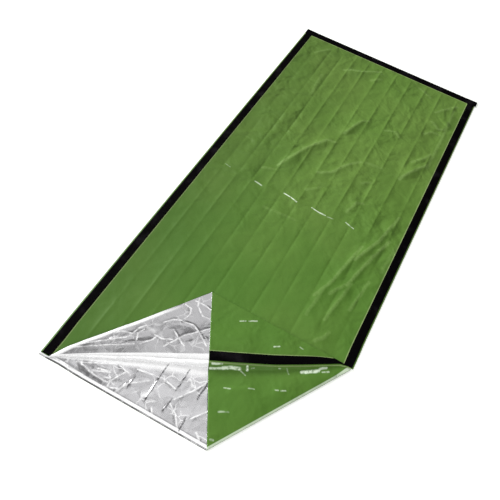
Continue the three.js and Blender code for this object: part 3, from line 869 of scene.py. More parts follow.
class Bench:
    """A material and the one method that adds nodes to it."""

    def __init__(self, name: str) -> None:
        """Starts an empty node material.

        Args:
            name: Name of the material.
        """
        self.material = bpy.data.materials.new(name)
        self.material.use_nodes = True
        self.tree = self.material.node_tree
        self.tree.nodes.clear()

    def add(self, kind: str, settings: dict | None = None, inputs: dict | None = None,
            output: int | str = 0) -> Value:
        """Adds one node.

        Args:
            kind: The node's type.
            settings: Attributes of the node, set before its sockets.
            inputs: Values or links by socket name or index.
            output: Which output to return.

        Returns:
            The chosen output, wrapped.
        """
        node = self.tree.nodes.new(kind)
        for name, setting in (settings or {}).items():
            setattr(node, name, setting)
        for key, given in (inputs or {}).items():
            if isinstance(given, Value):
                self.tree.links.new(given.socket, node.inputs[key])
            else:
                node.inputs[key].default_value = given
        return Value(self, node.outputs[output])

    def flat(self) -> tuple[Value, Value, Value]:
        """Reads the piece's flat coordinates in metres.

        Returns:
            Both coordinates as a vector, u and v.
        """
        uv = self.add("ShaderNodeUVMap", {"uv_map": "flat"})
        flat = self.vector("MULTIPLY", uv, (UV_SPAN, UV_SPAN, 1.0))
        u = self.add("ShaderNodeSeparateXYZ", {}, {0: flat})
        return flat, u, Value(self, u.socket.node.outputs[1])

    def noise(self, where: Value, scale: float, detail: float = 2.0, stretch: float = 0.0,
              output: str = "Fac") -> Value:
        """A cloud of values round one half, by features per metre."""
        inputs = {"Vector": where, "Scale": scale, "Detail": detail, "Distortion": stretch}
        return self.add("ShaderNodeTexNoise", {"noise_dimensions": "3D"}, inputs, output)

    def cloud(self, where: Value, scale: float, detail: float, *limits: float) -> Value:
        """A cloud of values read by a range."""
        return self.noise(where, scale, detail).ramp(*limits)

    def cells(self, where: Value, scale: float) -> Value:
        """Distance from the borders of a broken surface's cells, by cells per metre."""
        return self.add("ShaderNodeTexVoronoi", {"feature": "DISTANCE_TO_EDGE"},
                        {"Vector": where, "Scale": scale}, "Distance")

    def blend(self, factor: Input, first: Input, second: Input) -> Value:
        """Mix of two colours."""
        return self.add("ShaderNodeMix", {"data_type": "RGBA"},
                        {"Factor": factor, 6: first, 7: second}, 2)

    def vector(self, operation: str, first: Input, second: Input, output: str = "Vector") -> Value:
        """One Vector Math node on two vectors."""
        return self.add("ShaderNodeVectorMath", {"operation": operation}, {0: first, 1: second},
                        output)

    def wavy(self, flat: Value, scale: float, reach: float) -> Value:
        """Moves flat places about by up to half a reach, so that a straight mark wavers.

        Args:
            flat: The flat places.
            scale: Waves per metre.
            reach: Twice the greatest move.

        Returns:
            The moved places.
        """
        cloud = self.noise(flat, scale, output="Color")
        centred = self.vector("SUBTRACT", cloud, (CLOUD_MIDDLE,) * 3)
        return self.vector("ADD", flat, self.vector("MULTIPLY", centred, (reach, reach, 0.0)))

    def gap(self, flat: Value, start: Spot, end: Spot) -> Value:
        """Measures how far flat places lie from a straight stretch, in metres.

        Args:
            flat: The flat places.
            start: Start of the stretch.
            end: End of the stretch.

        Returns:
            The distance.
        """
        run = Vector((end[0] - start[0], end[1] - start[1], 0.0))
        gone = self.vector("SUBTRACT", flat, (*start, 0.0))
        share = self.vector("DOT_PRODUCT", gone, tuple(run), "Value") / run.length_squared
        foot = self.add("ShaderNodeVectorMath", {"operation": "SCALE"},
                        {0: tuple(run), "Scale": share.most(0.0).least(1.0)})
        return self.vector("DISTANCE", gone, foot, "Value")

    def marked(self, flat: Value, shown: tuple[Mark, ...]) -> Value:
        """Reads how strongly the nearest mark shows at flat places.

        Args:
            flat: The flat places.
            shown: The marks.

        Returns:
            The strength, from 0 to 1.
        """
        strongest = None
        for mark in shown:
            for start, end in zip(mark.points, mark.points[1:]):
                gap = self.gap(flat, (start[0] * MM, start[1] * MM), (end[0] * MM, end[1] * MM))
                one = gap.ramp(mark.core * mark.reach * MM, mark.reach * MM, mark.strength, 0.0)
                strongest = one if strongest is None else strongest.most(one)
        return strongest

    def bump(self, height: Value, distance: float = 1.0, strength: float = 1.0) -> Value:
        """Turns a height into a normal, for a relief of that many metres."""
        return self.add("ShaderNodeBump", {},
                        {"Height": height, "Distance": distance, "Strength": strength})

    def finish(self, inputs: dict) -> bpy.types.Material:
        """Closes the material with a Principled surface.

        Args:
            inputs: Values or links by the surface's socket names.

        Returns:
            The material.
        """
        surface = self.add("ShaderNodeBsdfPrincipled", {}, inputs)
        out = self.tree.nodes.new("ShaderNodeOutputMaterial")
        self.tree.links.new(surface.socket, out.inputs["Surface"])
        return self.material


# In the finishes a cloud is its features per metre, its detail and, in most, the range that it is
# read by. A range is two readings and the values at them, which are 0 and 1 where none are given.
# A waver is its waves per metre and its reach. A band is its middle, the half-widths of its core
# and of its edge, and its strength.


@dataclass(frozen=True)
class GreenFilm:
    """Outer face of the film: satin green, creased by packing and full of soft crinkles."""

    name: str
    glints: tuple[Mark, ...]
    ridges: tuple[Mark, ...]
    taped: bool
    colour: Colour = (0.087, 0.207, 0.024, 1.0)
    # Paler green towards the foot, a painted sheen, and in random clouds of tone
    tone_and_sheen: Colour = (0.144, 0.258, 0.045, 1.0)
    # Black that the left part of the panel fades towards: painted shade
    side_shade: Colour = (0.0, 0.0, 0.0, 1.0)
    glint: Colour = (0.86, 1.0, 0.78, 1.0)
    # Pale green of the film's lips by the tapes and at the edge: a painted highlight
    lip_highlight: Colour = (0.36, 0.48, 0.19, 1.0)
    # Pale green along the corner fold's rounded edge: a painted highlight
    fold: Colour = (0.62, 0.74, 0.55, 1.0)
    # Grey under the corner fold: a painted shadow
    under: Colour = (0.17, 0.175, 0.165, 1.0)
    sheen: Colour = (0.26, 0.41, 0.12, 1.0)
    metallic: float = 0.08
    roughness: float = 0.50
    uneven_gloss: float = 0.16
    specular: float = 0.22
    coat: float = 0.04
    coat_roughness: float = 0.16
    # Painted highlights on the lips of film beside the tapes or at the edge, and the painted
    # highlight and painted shadow of the corner fold
    lip_gap: float = 0.0015
    taped_lip: Numbers = (0.0010, 0.0026, 0.75, 0.0)
    bare_lip: Numbers = (0.0010, 0.0030, 0.75)
    fold_line: Numbers = (-0.0045, 0.0030, 0.0050, 0.95)
    under_range: Spot = (-0.0020, -0.0005)
    # Colour along and across the panel, with painted sheen towards the foot and painted shade to the
    # left, and broken painted glints and sheen
    foot_range: Spot = (0.55, 1.45)
    side_shade_range: Numbers = (0.0, 0.50, 0.23, 0.0)
    tone_cloud: Numbers = (3.0, 3.0, 0.35, 0.7)
    tone_share: float = 0.35
    glint_waver: Spot = (60.0, 0.004)
    glint_cloud: Numbers = (90.0, 2.0, 0.30, 0.55, 0.35, 1.0)
    sheen_waver: Spot = (25.0, 0.010)
    sheen_range: Numbers = (0.3, 0.6, 0.5, 1.0)
    # Soft crinkles: their height, their share near the mouth, and how the right side adds to it
    crumple: float = 0.0180
    near_share: float = 0.28
    side_range: Spot = (0.45, 0.85)
    side_share: float = 0.45
    blob_cloud: Spot3 = (13.0, 2.0, 0.3)
    ridge_cloud: Spot = (10.0, 1.0)
    ridge_depth: float = 0.3
    fine_cloud: Spot = (110.0, 2.0)
    fine_height: float = 0.04
    swell_cloud: Numbers = (4.0, 1.0, 0.3, 0.65, 0.5, 1.0)

    def edged(self, bench: Bench, u: Value, v: Value, colour: Value) -> Value:
        """Adds painted highlights on the lips of film along the tapes, or a painted highlight and
        painted shadow along the corner fold.

        Args:
            bench: The material's bench.
            u: Metres across the panel.
            v: Metres from the mouth.
            colour: The film's colour so far.

        Returns:
            The colour with its edges.
        """
        if self.taped:
            inner = FORM.tape_edge + self.lip_gap
            side = abs(abs(u - FORM.width / 2) - (FORM.width / 2 - inner))
            foot = abs(v - (FORM.length - FORM.foot_tape_width - self.lip_gap))
            # Painted highlight along the film's lips beside the tapes and at the right edge
            lip_highlight = side.least(foot).least(abs(u - FORM.width)).ramp(*self.taped_lip)
            return bench.blend(lip_highlight, colour, self.lip_highlight)
        off = FORM.corner.off(u, v)
        # Painted highlight along the film's lip at the right edge
        lipped = bench.blend(u.band(FORM.width, *self.bare_lip), colour, self.lip_highlight)
        # Painted highlight along the corner fold's rounded edge
        tone_and_sheen = bench.blend(off.band(*self.fold_line), lipped, self.fold)
        # Painted shadow under the corner fold
        return bench.blend(off.ramp(*self.under_range), tone_and_sheen, self.under)

    def crinkles(self, bench: Bench, flat: Value, side: Value, foot: Value, fine: Value) -> Value:
        """Height of the soft crinkles.

        Args:
            bench: The material's bench.
            flat: The flat places.
            side: How far a place lies to the right, from 0 to 1.
            foot: How far it lies towards the foot, from 0 to 1.
            fine: The finest cloud.

        Returns:
            The height, in metres.
        """
        share = (foot + side * self.side_share).least(1.0) * (1.0 - self.near_share) + self.near_share
        ridged = abs(bench.noise(flat, *self.ridge_cloud) - CLOUD_MIDDLE) * self.ridge_depth
        swell = bench.cloud(flat, *self.swell_cloud)
        blobs = bench.noise(flat, *self.blob_cloud) - ridged + fine * self.fine_height
        return blobs * swell * share * self.crumple

    def material(self) -> bpy.types.Material:
        """Builds the material.

        Returns:
            The material.
        """
        bench = Bench(self.name)
        flat, u, v = bench.flat()
        glints = bench.marked(bench.wavy(flat, *self.glint_waver), self.glints)
        glints = glints * bench.cloud(flat, *self.glint_cloud)
        foot = v.ramp(*self.foot_range)
        fine = bench.noise(flat, *self.fine_cloud)
        cloud = bench.cloud(flat, *self.tone_cloud)
        # The tone grows paler towards the foot, a painted sheen, and in random clouds of tone
        tone = (cloud * self.tone_share + foot * (1.0 - self.tone_share)).least(1.0)
        plain = bench.blend(tone, self.colour, self.tone_and_sheen)
        # Painted shade: the panel darkens towards its left side
        plain = bench.blend(u.ramp(*self.side_shade_range), plain, self.side_shade)
        if self.ridges:
            shiny = bench.marked(bench.wavy(flat, *self.sheen_waver), self.ridges)
            plain = bench.blend(shiny * fine.ramp(*self.sheen_range), plain, self.sheen)
        plain = self.edged(bench, u, v, plain)
        height = self.crinkles(bench, flat, u.ramp(*self.side_range), foot, fine)
        return bench.finish({
            "Base Color": bench.blend(glints, plain, self.glint),
            "Metallic": self.metallic,
            "Roughness": fine * self.uneven_gloss + (self.roughness - self.uneven_gloss / 2),
            "Specular IOR Level": self.specular,
            "Coat Weight": self.coat,
            "Coat Roughness": self.coat_roughness,
            "Normal": bench.bump(height),
        })


@dataclass(frozen=True)
class SilverFilm:
    """Inner face of the film: metallised silver, creased like foil, with painted white highlights
    along its creases and bands, which glow a little, and painted grey shade.
    """

    name: str
    creases: tuple[Mark, ...]
    shadows: tuple[Mark, ...] = ()
    calm: float = 1.0
    colour: Colour = (0.70, 0.695, 0.71, 1.0)
    # White of the painted highlights on creases, bands and the fine network
    highlight_white: Colour = (0.95, 0.95, 0.95, 1.0)
    shade: Colour = (0.05, 0.05, 0.055, 1.0)
    unlit: Colour = (0.0, 0.0, 0.0, 1.0)
    # The painted highlights also glow by this much, as light painted into the surface
    glow: float = 0.18
    roughness: float = 0.27
    uneven_gloss: float = 0.08
    gloss_cloud: Spot = (160.0, 2.0)
    # Flat facets in four directions: degrees, spacing and slope, with bent edges, and a fine grain
    facets: tuple[Spot3, ...] = (
        (12.0, 0.043, 0.028), (67.0, 0.052, 0.032), (121.0, 0.037, 0.028), (158.0, 0.066, 0.036))
    warp: float = 0.060
    warp_cloud: Spot = (9.0, 2.0)
    grain: float = 0.00010
    grain_cloud: Spot = (60.0, 1.0)
    # Painted white highlights along creases: the traced ones, and patches of a fine network
    crease_waver: Spot = (30.0, 0.007)
    # A cloud that breaks up the painted highlights and painted shade marks
    mark_break_cloud: Numbers = (75.0, 2.0, 0.34, 0.62, 0.30, 1.0)
    fine_creases: float = 0.32
    patch_cloud: Numbers = (14.0, 2.0, 0.46, 0.60, 0.0)
    network_waver: Spot = (18.0, 0.050)
    network_cells: float = 26.0
    network_range: Numbers = (0.0, 0.07, 1.0, 0.0)
    # Painted highlight band along the corner fold, and the least size of the roll in its own measure
    fold_band: Numbers = (0.0, 0.0025, 0.0050, 0.8)
    least_roll: float = 0.01

    def ridge_share(self, u: Value, v: Value) -> Value:
        """Distance off the fold-back line, as it would be where the roll is thickest.

        Args:
            u: Metres across the panel.
            v: Metres from the mouth.

        Returns:
            The distance.
        """
        thin = FORM.ridge_start_r / FORM.ridge_mid_r
        size = FORM.ridge.along(u, v) * ((1.0 - thin) / FORM.seam_end) + thin
        return FORM.ridge.off(u, v) / size.most(self.least_roll)

    def bands(self, u: Value, v: Value) -> tuple[Value, Value]:
        """Where broad painted white highlight bands and painted grey shade edges run along the
        panel's folds and rims.
        """
        raise NotImplementedError

    def relief(self, bench: Bench, flat: Value, u: Value, v: Value) -> Value:
        """Height of the foil's facets and grain.

        Args:
            bench: The material's bench.
            flat: The flat places.
            u: Metres across the panel.
            v: Metres from the mouth.

        Returns:
            The height, in metres.
        """
        bend = bench.noise(flat, *self.warp_cloud) * self.warp
        height = bench.noise(flat, *self.grain_cloud) * self.grain
        for degrees, spacing, slope in self.facets:
            turn = math.radians(degrees)
            line = u * math.cos(turn) + v * math.sin(turn) + bend
            height = height + line.zigzag(spacing) * (slope * self.calm)
        return height

    def material(self) -> bpy.types.Material:
        """Builds the material.

        Returns:
            The material.
        """
        bench = Bench(self.name)
        flat, u, v = bench.flat()
        loose = bench.wavy(flat, *self.crease_waver)
        patches = bench.cloud(flat, *self.patch_cloud, self.fine_creases)
        network = bench.cells(bench.wavy(flat, *self.network_waver), self.network_cells)
        fine = network.ramp(*self.network_range) * patches
        uneven = bench.cloud(flat, *self.mark_break_cloud)
        white, dark = self.bands(u, v)
        # Painted highlight along the corner fold
        white = white.most(FORM.corner.off(u, v).band(*self.fold_band))
        # Painted highlights: the traced creases, the fine network and the white bands
        pale = (bench.marked(loose, self.creases) * uneven).most(fine).most(white)
        if self.shadows:
            # Painted shade marks along the darkened creases and streaks
            dark = (bench.marked(loose, self.shadows) * uneven).most(dark)
        lit = bench.blend(pale, self.colour, self.highlight_white)
        gloss = bench.noise(flat, *self.gloss_cloud) * self.uneven_gloss
        return bench.finish({
            "Base Color": bench.blend(dark, lit, self.shade),
            "Metallic": 1.0 - pale,
            # Painted highlights glow a little, though the film is no lamp
            "Emission Color": bench.blend(pale * (1.0 - dark), self.unlit, self.highlight_white),
            "Emission Strength": self.glow,
            "Roughness": gloss + (self.roughness - self.uneven_gloss / 2),
            "Normal": bench.bump(self.relief(bench, flat, u, v)),
        })


@dataclass(frozen=True)
class FlapSilver(SilverFilm):
    """Silver side of the top panel, whose flap is turned back over the ridge."""

    # A darker copy of the floor's silver: painted shade for the darker surroundings that the flap
    # reflects
    colour: Colour = (0.55, 0.546, 0.557, 1.0)
    calm: float = 0.8
    # Bands of painted highlight on the roll and the rim, and of painted shade along the groove
    roll_band: Numbers = (0.0, 0.024, 0.030, 0.85)
    groove_band: Numbers = (-0.006, 0.0006, 0.0026, 0.25)
    rim_range: Numbers = (0.008, 0.016, 0.85, 0.0)
    rim_end: Numbers = (0.400, 0.540, 1.0, 0.0)

    def bands(self, u: Value, v: Value) -> tuple[Value, Value]:
        """Painted white highlights on the roll and the rim, and a painted grey shade line along the
        roll.

        Args:
            u: Metres across the panel.
            v: Metres from the mouth.

        Returns:
            How strongly white and grey show, from 0 to 1.
        """
        share = self.ridge_share(u, v)
        from_rim = v + u * (FORM.rim_step / FORM.width) - FORM.rim_step
        rim = from_rim.ramp(*self.rim_range) * u.ramp(*self.rim_end)
        return share.band(*self.roll_band).most(rim), share.band(*self.groove_band)


@dataclass(frozen=True)
class FloorSilver(SilverFilm):
    """Silver side of the bottom panel, the floor of the mouth."""

    # Stronger painted highlights of the fine network on the floor
    fine_creases: float = 0.65
    # Bands of painted highlight by the roll and along the edge, and of painted shade at the rim
    roll_range: Numbers = (-0.064, -0.034, 0.0, 0.85)
    edge_band: Numbers = (0.0105, 0.0040, 0.0060, 0.9)
    rim_range: Numbers = (0.0045, 0.0070, 0.35, 0.0)
    rim_line: Numbers = (0.0180, 0.0010, 0.0028, 0.3)

    def bands(self, u: Value, v: Value) -> tuple[Value, Value]:
        """Painted white highlight strips by the roll and along the mouth's edge, and the edge's
        painted grey shade lines.

        Args:
            u: Metres across the panel.
            v: Metres from the mouth.

        Returns:
            How strongly white and grey show, from 0 to 1.
        """
        by_roll = self.ridge_share(u, v).ramp(*self.roll_range)
        rim = v.ramp(*self.rim_range).most(v.band(*self.rim_line))
        return by_roll.most(v.band(*self.edge_band)), rim


@dataclass(frozen=True)
class SeamTape:
    """Black woven tape with a dull sheen, and faint bluish patches of painted reflection."""

    colour: Colour = (0.0014, 0.0010, 0.0014, 1.0)
    # Faint bluish patches on the black: a painted reflection
    tone_and_sheen: Colour = (0.0100, 0.0085, 0.0105, 1.0)
    roughness: float = 0.62
    uneven_gloss: float = 0.04
    specular: float = 0.02
    weave_pitch: float = 4200.0
    weave_height: float = 0.5
    lump_cloud: Spot = (40.0, 2.0)
    lump_height: float = 2.0
    relief: float = 0.0006
    relief_share: float = 0.7
    glare_cloud: Numbers = (14.0, 3.0, 0.5, 0.75)

    def material(self) -> bpy.types.Material:
        """Builds the material.

        Returns:
            The material.
        """
        bench = Bench("tape_black")
        flat, u, v = bench.flat()
        weave = (u * self.weave_pitch).wave() * (v * self.weave_pitch).wave()
        # Painted reflection: faint bluish patches over the black
        glare_patches = bench.cloud(flat, *self.glare_cloud)
        lumps = bench.noise(flat, *self.lump_cloud) * self.lump_height
        height = weave * self.weave_height + lumps
        return bench.finish({
            "Base Color": bench.blend(glare_patches, self.colour, self.tone_and_sheen),
            "Roughness": weave * self.uneven_gloss + self.roughness,
            "Specular IOR Level": self.specular,
            "Normal": bench.bump(height, self.relief, self.relief_share),
        })


@dataclass(frozen=True)
class PaleFloor:
    """Plain pale studio floor, faintly lit from within so that shadows on it stay light."""

    colour: Colour = (0.90, 0.93, 0.87, 1.0)
    clouded: Colour = (0.93, 0.95, 0.91, 1.0)
    cloud: Numbers = (0.8, 2.0, 0.3, 0.7)
    roughness: float = 0.9
    glow: float = 0.40

    def material(self) -> bpy.types.Material:
        """Builds the material.

        Returns:
            The material.
        """
        bench = Bench("floor_pale")
        place = bench.add("ShaderNodeTexCoord", {}, {}, "Object")
        clouds = bench.cloud(place, *self.cloud)
        return bench.finish({
            "Base Color": bench.blend(clouds, self.colour, self.clouded),
            "Roughness": self.roughness,
            "Specular IOR Level": 0.0,
            "Emission Color": self.colour,
            "Emission Strength": self.glow,
        })


def add_object(name: str, data: bpy.types.ID) -> bpy.types.Object:
    """Adds an object to the scene.

    Args:
        name: Its name.
        data: Its mesh, light or camera.

    Returns:
        The object.
    """
    thing = bpy.data.objects.new(name, data)
    bpy.context.scene.collection.objects.link(thing)
    return thing


@dataclass(frozen=True)
class Strip:
    """A strip of flat places beside a fold line, between two distances along it."""

    line: FoldLine
    reach: float
    first: float = -math.inf
    last: float = math.inf

    def holds(self, place: Vector) -> bool:
        """Whether a flat place lies in the strip."""
        along, off = self.line.read(place.x, place.y)
        return abs(off) < self.reach and self.first < along < self.last


@dataclass
class FlatSheet:
    """A sheet cut from a grid in flat coordinates and then laid by a fold map."""

    name: str
    columns: Reading
    rows: Reading
    place: Callable[[Reading, Reading], Place]
    thickness: float = 0.0004
    lift: float = 0.0
    tolerance: float = 1e-6
    least_fold: float = 0.00030
    longest_edge: float = 0.005
    ridge_reach: float = 0.060
    ridge_cuts: int = 16
    corner_reach: float = 0.030
    corner_cuts: int = 8
    normal_step: float = 4e-4
    mesh: bmesh.types.BMesh = field(default_factory=bmesh.new)

    def __post_init__(self) -> None:
        """Makes the flat grid, with its columns and rows at the given places."""
        across, down = len(self.columns) - 1, len(self.rows) - 1
        bmesh.ops.create_grid(self.mesh, x_segments=across, y_segments=down, size=1.0)
        for vert in self.mesh.verts:
            column = round((vert.co.x + 1.0) / 2.0 * across)
            row = round((vert.co.y + 1.0) / 2.0 * down)
            vert.co = Vector((self.columns[column], self.rows[row], 0.0))

    def cut(self, a: Spot, b: Spot, near: Near, clear: bool = False) -> None:
        """Cuts the faces near a line, and clears what lies on its right if asked.

        Args:
            a: Start of the line.
            b: End of the line.
            near: Test of a face's middle.
            clear: Whether the part on the right of the line is thrown away.
        """
        du, dv = FoldLine(a, b).run
        faces = [f for f in self.mesh.faces if near(f.calc_center_median())]
        geometry = list({x for f in faces for x in (*f.verts, *f.edges)}) + faces
        bmesh.ops.bisect_plane(
            self.mesh, geom=geometry, dist=self.tolerance, plane_co=Vector((*a, 0.0)),
            plane_no=Vector((-dv, du, 0.0)), clear_inner=clear)

    def refine(self, near: Near) -> None:
        """Halves the cells of an area across the panel.

        Args:
            near: Test of an edge's middle.
        """
        edges = []
        for edge in self.mesh.edges:
            a, b = (vert.co for vert in edge.verts)
            if near((a + b) / 2) and abs(a.x - b.x) > abs(a.y - b.y):
                edges.append(edge)
        bmesh.ops.subdivide_edges(self.mesh, edges=edges, cuts=1)

    def refine_folds(self, wrinkles: tuple[Wrinkle, ...]) -> None:
        """Halves the long edges of cells that a fold raises or sinks by more than a least height.

        Args:
            wrinkles: The folds.
        """
        verts = list(self.mesh.verts)
        places = np.array([vert.co.xy for vert in verts])
        moved = np.zeros(len(verts), dtype=bool)
        for wrinkle in wrinkles:
            moved |= np.abs(wrinkle.rise(places[:, 0], places[:, 1])) > self.least_fold
        touched = {vert for vert, near in zip(verts, moved) if near}
        edges = [e for e in self.mesh.edges
                 if touched.issuperset(e.verts) and e.calc_length() > self.longest_edge]
        bmesh.ops.subdivide_edges(self.mesh, edges=edges, cuts=1, use_grid_fill=True)

    def cut_ridge(self) -> None:
        """Cuts strips along the fold-back line, as fine as its bend needs."""
        ridge, end = FORM.ridge, FORM.seam_end
        before = Strip(ridge, self.ridge_reach, last=end).holds
        after = Strip(ridge, self.ridge_reach, first=end).holds
        self.cut(ridge.point(end, 0.0), ridge.point(end, self.ridge_reach),
                 Strip(ridge, self.ridge_reach).holds)
        for share in np.linspace(-1.0, 1.0, self.ridge_cuts + 1):
            start, middle, last = (
                share * QUARTER_TURN * radius
                for radius in (FORM.ridge_start_r, FORM.ridge_mid_r, FORM.ridge_end_r))
            self.cut(ridge.point(0.0, start), ridge.point(end, middle), before)
            self.cut(ridge.point(end, middle), ridge.point(ridge.length, last), after)

    def cut_corner(self, start_r: float, end_r: float) -> None:
        """Cuts strips along the corner line, as fine as its bend needs.

        Args:
            start_r: Radius of the bend at the line's start.
            end_r: Radius of the bend at its end.
        """
        corner = FORM.corner
        near = Strip(corner, self.corner_reach).holds
        for share in np.linspace(-1.0, 1.0, self.corner_cuts + 1):
            self.cut(corner.point(0.0, share * QUARTER_TURN * start_r),
                     corner.point(corner.length, share * QUARTER_TURN * end_r), near)

    def lay(self) -> bpy.types.Object:
        """Writes the flat map, lays the sheet by its fold map and gives it its thickness.

        Returns:
            The finished object.
        """
        flat_map = self.mesh.loops.layers.uv.new("flat")
        for face in self.mesh.faces:
            face.smooth = True
            for loop in face.loops:
                loop[flat_map].uv = loop.vert.co.xy / UV_SPAN
        bmesh.ops.triangulate(self.mesh, faces=[f for f in self.mesh.faces if len(f.verts) > 4])
        mesh = bpy.data.meshes.new(self.name)
        self.mesh.to_mesh(mesh)
        self.mesh.free()
        spots = np.empty(len(mesh.vertices) * 3)
        mesh.vertices.foreach_get("co", spots)
        laid = np.stack(self.lifted(spots[0::3].copy(), spots[1::3].copy()), axis=1)
        laid[:, :2] += FORM.shift
        mesh.vertices.foreach_set("co", laid.ravel())
        mesh.update()
        piece = add_object(self.name, mesh)
        skin = piece.modifiers.new("film", "SOLIDIFY")
        skin.thickness = self.thickness
        skin.offset = 0.0
        skin.use_even_offset = False
        return piece

    def lifted(self, u: Reading, v: Reading) -> Place:
        """Lays flat places and raises them off the sheet along its normal, by the sheet's lift.

        Args:
            u: Metres across the panel.
            v: Metres from the mouth.

        Returns:
            The places u, v and z.
        """
        place = np.stack(self.place(u, v))
        if self.lift == 0.0:
            return tuple(place)
        step = self.normal_step
        du = np.stack(self.place(u + step, v)) - np.stack(self.place(u - step, v))
        dv = np.stack(self.place(u, v + step)) - np.stack(self.place(u, v - step))
        normal = np.cross(du, dv, axis=0)
        return tuple(place + self.lift * normal / np.linalg.norm(normal, axis=0))


def dress(piece: bpy.types.Object, finishes: dict[Side, bpy.types.Material], node: str) -> None:
    """Gives a piece its finishes, hides its CAD node, hangs it on the root body, and reports it.

    Args:
        piece: The piece.
        finishes: Its materials by the sheet's side, the upper one first.
        node: The CAD node that it stands for.
    """
    for finish in finishes.values():
        piece.data.materials.append(finish)
    if Side.UNDER in finishes:
        skin = piece.modifiers["film"]
        skin.material_offset = Side.UNDER.value
        skin.material_offset_rim = Side.UNDER.value
    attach(piece, "root")
    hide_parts(node)
    log.info("%s: %d flat faces", piece.name, len(piece.data.polygons))


def spread(stops: Numbers, step: float) -> Reading:
    """Places between stops, each stretch divided evenly.

    Args:
        stops: The places that have to be there, in order.
        step: About how far apart the places are.

    Returns:
        The places.
    """
    places = [stops[0]]
    for a, b in zip(stops, stops[1:]):
        count = max(1, round((b - a) / step))
        places.extend(a + (b - a) * (i + 1) / count for i in range(count))
    return np.array(places)


@dataclass
class Panels:
    """The two film panels, with the steps of their cells in the mouth and beyond it.

    A painted crease highlight, painted shadow or painted sheen along a fold is given by its reach in
    millimetres and its strength. A fold's painted sheen is full at the sheen's height.
    """

    mouth_step: float = 0.0052
    main_step: float = 0.0094
    hidden_step: float = 0.0160
    column_step: float = 0.0120
    mouth_end: float = 0.500
    tape_gap: float = 0.004
    crease_stops: Numbers = (-1.0, -0.5, 0.0, 0.5, 1.0)
    rim_reach: float = 0.05
    flap_reach: float = 0.02
    floor_reach: float = 0.05
    # Reach and strength of painted crease highlights, painted shadows and painted sheen
    flap_crease: Spot = (4.2, 0.70)
    floor_crease: Spot = (3.8, 0.85)
    floor_shadow: Spot = (3.8, 0.80)
    sheen_reach: float = 10.0
    sheen_height: float = 10.5

    def columns(self) -> Reading:
        """Columns of a panel, close together at the packing creases and at the tapes.

        Returns:
            Their places across the panel.
        """
        tape, width = FORM.tape_edge, FORM.width
        stops = [0.0, FORM.seal_margin, tape, tape + self.tape_gap]
        for crease in PACKING_CREASES:
            stops += [crease * MM + FORM.packing_half * share for share in self.crease_stops]
        stops += [width - tape - self.tape_gap, width - tape, width - FORM.seal_margin, width]
        return spread(tuple(stops), self.column_step)

    def rows(self, step: float) -> Reading:
        """Rows of a panel, closer together in the mouth.

        Args:
            step: How far apart they are beyond the mouth.

        Returns:
            Their distances from the mouth.
        """
        cross, half = FORM.cross_crease, FORM.cross_half
        mouth = spread((0.0, self.mouth_end), self.mouth_step)
        stops = (self.mouth_end, cross - half, cross, cross + half,
                 FORM.length - FORM.foot_tape_width, FORM.length)
        return np.concatenate((mouth, spread(stops, step)[1:]))

    def top(self) -> bpy.types.Object:
        """Builds the top panel with its turned-back flap and twice-turned corner.

        Returns:
            The finished object.
        """
        sheet = FlatSheet("top_film", self.columns(), self.rows(self.main_step), FORM.top_place)
        sheet.cut((0.0, FORM.rim(0.0)), (FORM.width, 0.0), lambda p: p.y < self.rim_reach, clear=True)
        sheet.refine_folds(TOP_WRINKLES[BROAD_FOLDS:])
        sheet.refine(lambda p: FORM.ridge.off(p.x, p.y) < self.flap_reach)
        sheet.cut_ridge()
        sheet.cut_corner(FORM.lap_end_r, FORM.lap_start_r)
        return sheet.lay()

    def bottom(self) -> bpy.types.Object:
        """Builds the bottom panel with its turned-up corner.

        Returns:
            The finished object.
        """
        rows = self.rows(self.hidden_step)
        sheet = FlatSheet("bottom_film", self.columns(), rows, FORM.bottom_place)
        sheet.refine(lambda p: FORM.ridge.off(p.x, p.y) < self.floor_reach)
        sheet.cut_corner(FORM.corner_r, FORM.corner_r)
        return sheet.lay()

    def dress_top(self, top: bpy.types.Object) -> None:
        """Dresses the top panel, green above, and silver with the flap's painted crease highlights
        below.

        Args:
            top: The top panel.
        """
        spots = [tuple(FORM.flap_spot(p) for p in w.points) for w in FLAP_WRINKLES]
        creases = tuple(Mark(points, *self.flap_crease) for points in spots)
        ridges = tuple(Mark(w.points, self.sheen_reach, w.height / self.sheen_height)
                       for w in TOP_WRINKLES[BROAD_FOLDS:] if w.height > 0.0)
        green = GreenFilm("top_green", TOP_GLINTS, ridges, True).material()
        silver = FlapSilver("flap_silver", creases).material()
        dress(top, {Side.UPPER: green, Side.UNDER: silver}, "top_panel")

    def dress_bottom(self, bottom: bpy.types.Object) -> None:
        """Dresses the bottom panel, silver with the floor's painted crease highlights and painted
        shade marks above, and green below.

        Args:
            bottom: The bottom panel.
        """
        creases = traced(FLOOR_WRINKLES[FLOOR_SHADOWS:], *self.floor_crease)
        shadows = traced(FLOOR_WRINKLES[:FLOOR_SHADOWS], *self.floor_shadow) + FLOOR_STREAKS
        silver = FloorSilver("floor_silver", creases, shadows).material()
        green = GreenFilm("bottom_green", BOTTOM_GLINTS, (), False).material()
        dress(bottom, {Side.UPPER: silver, Side.UNDER: green}, "bottom_panel")


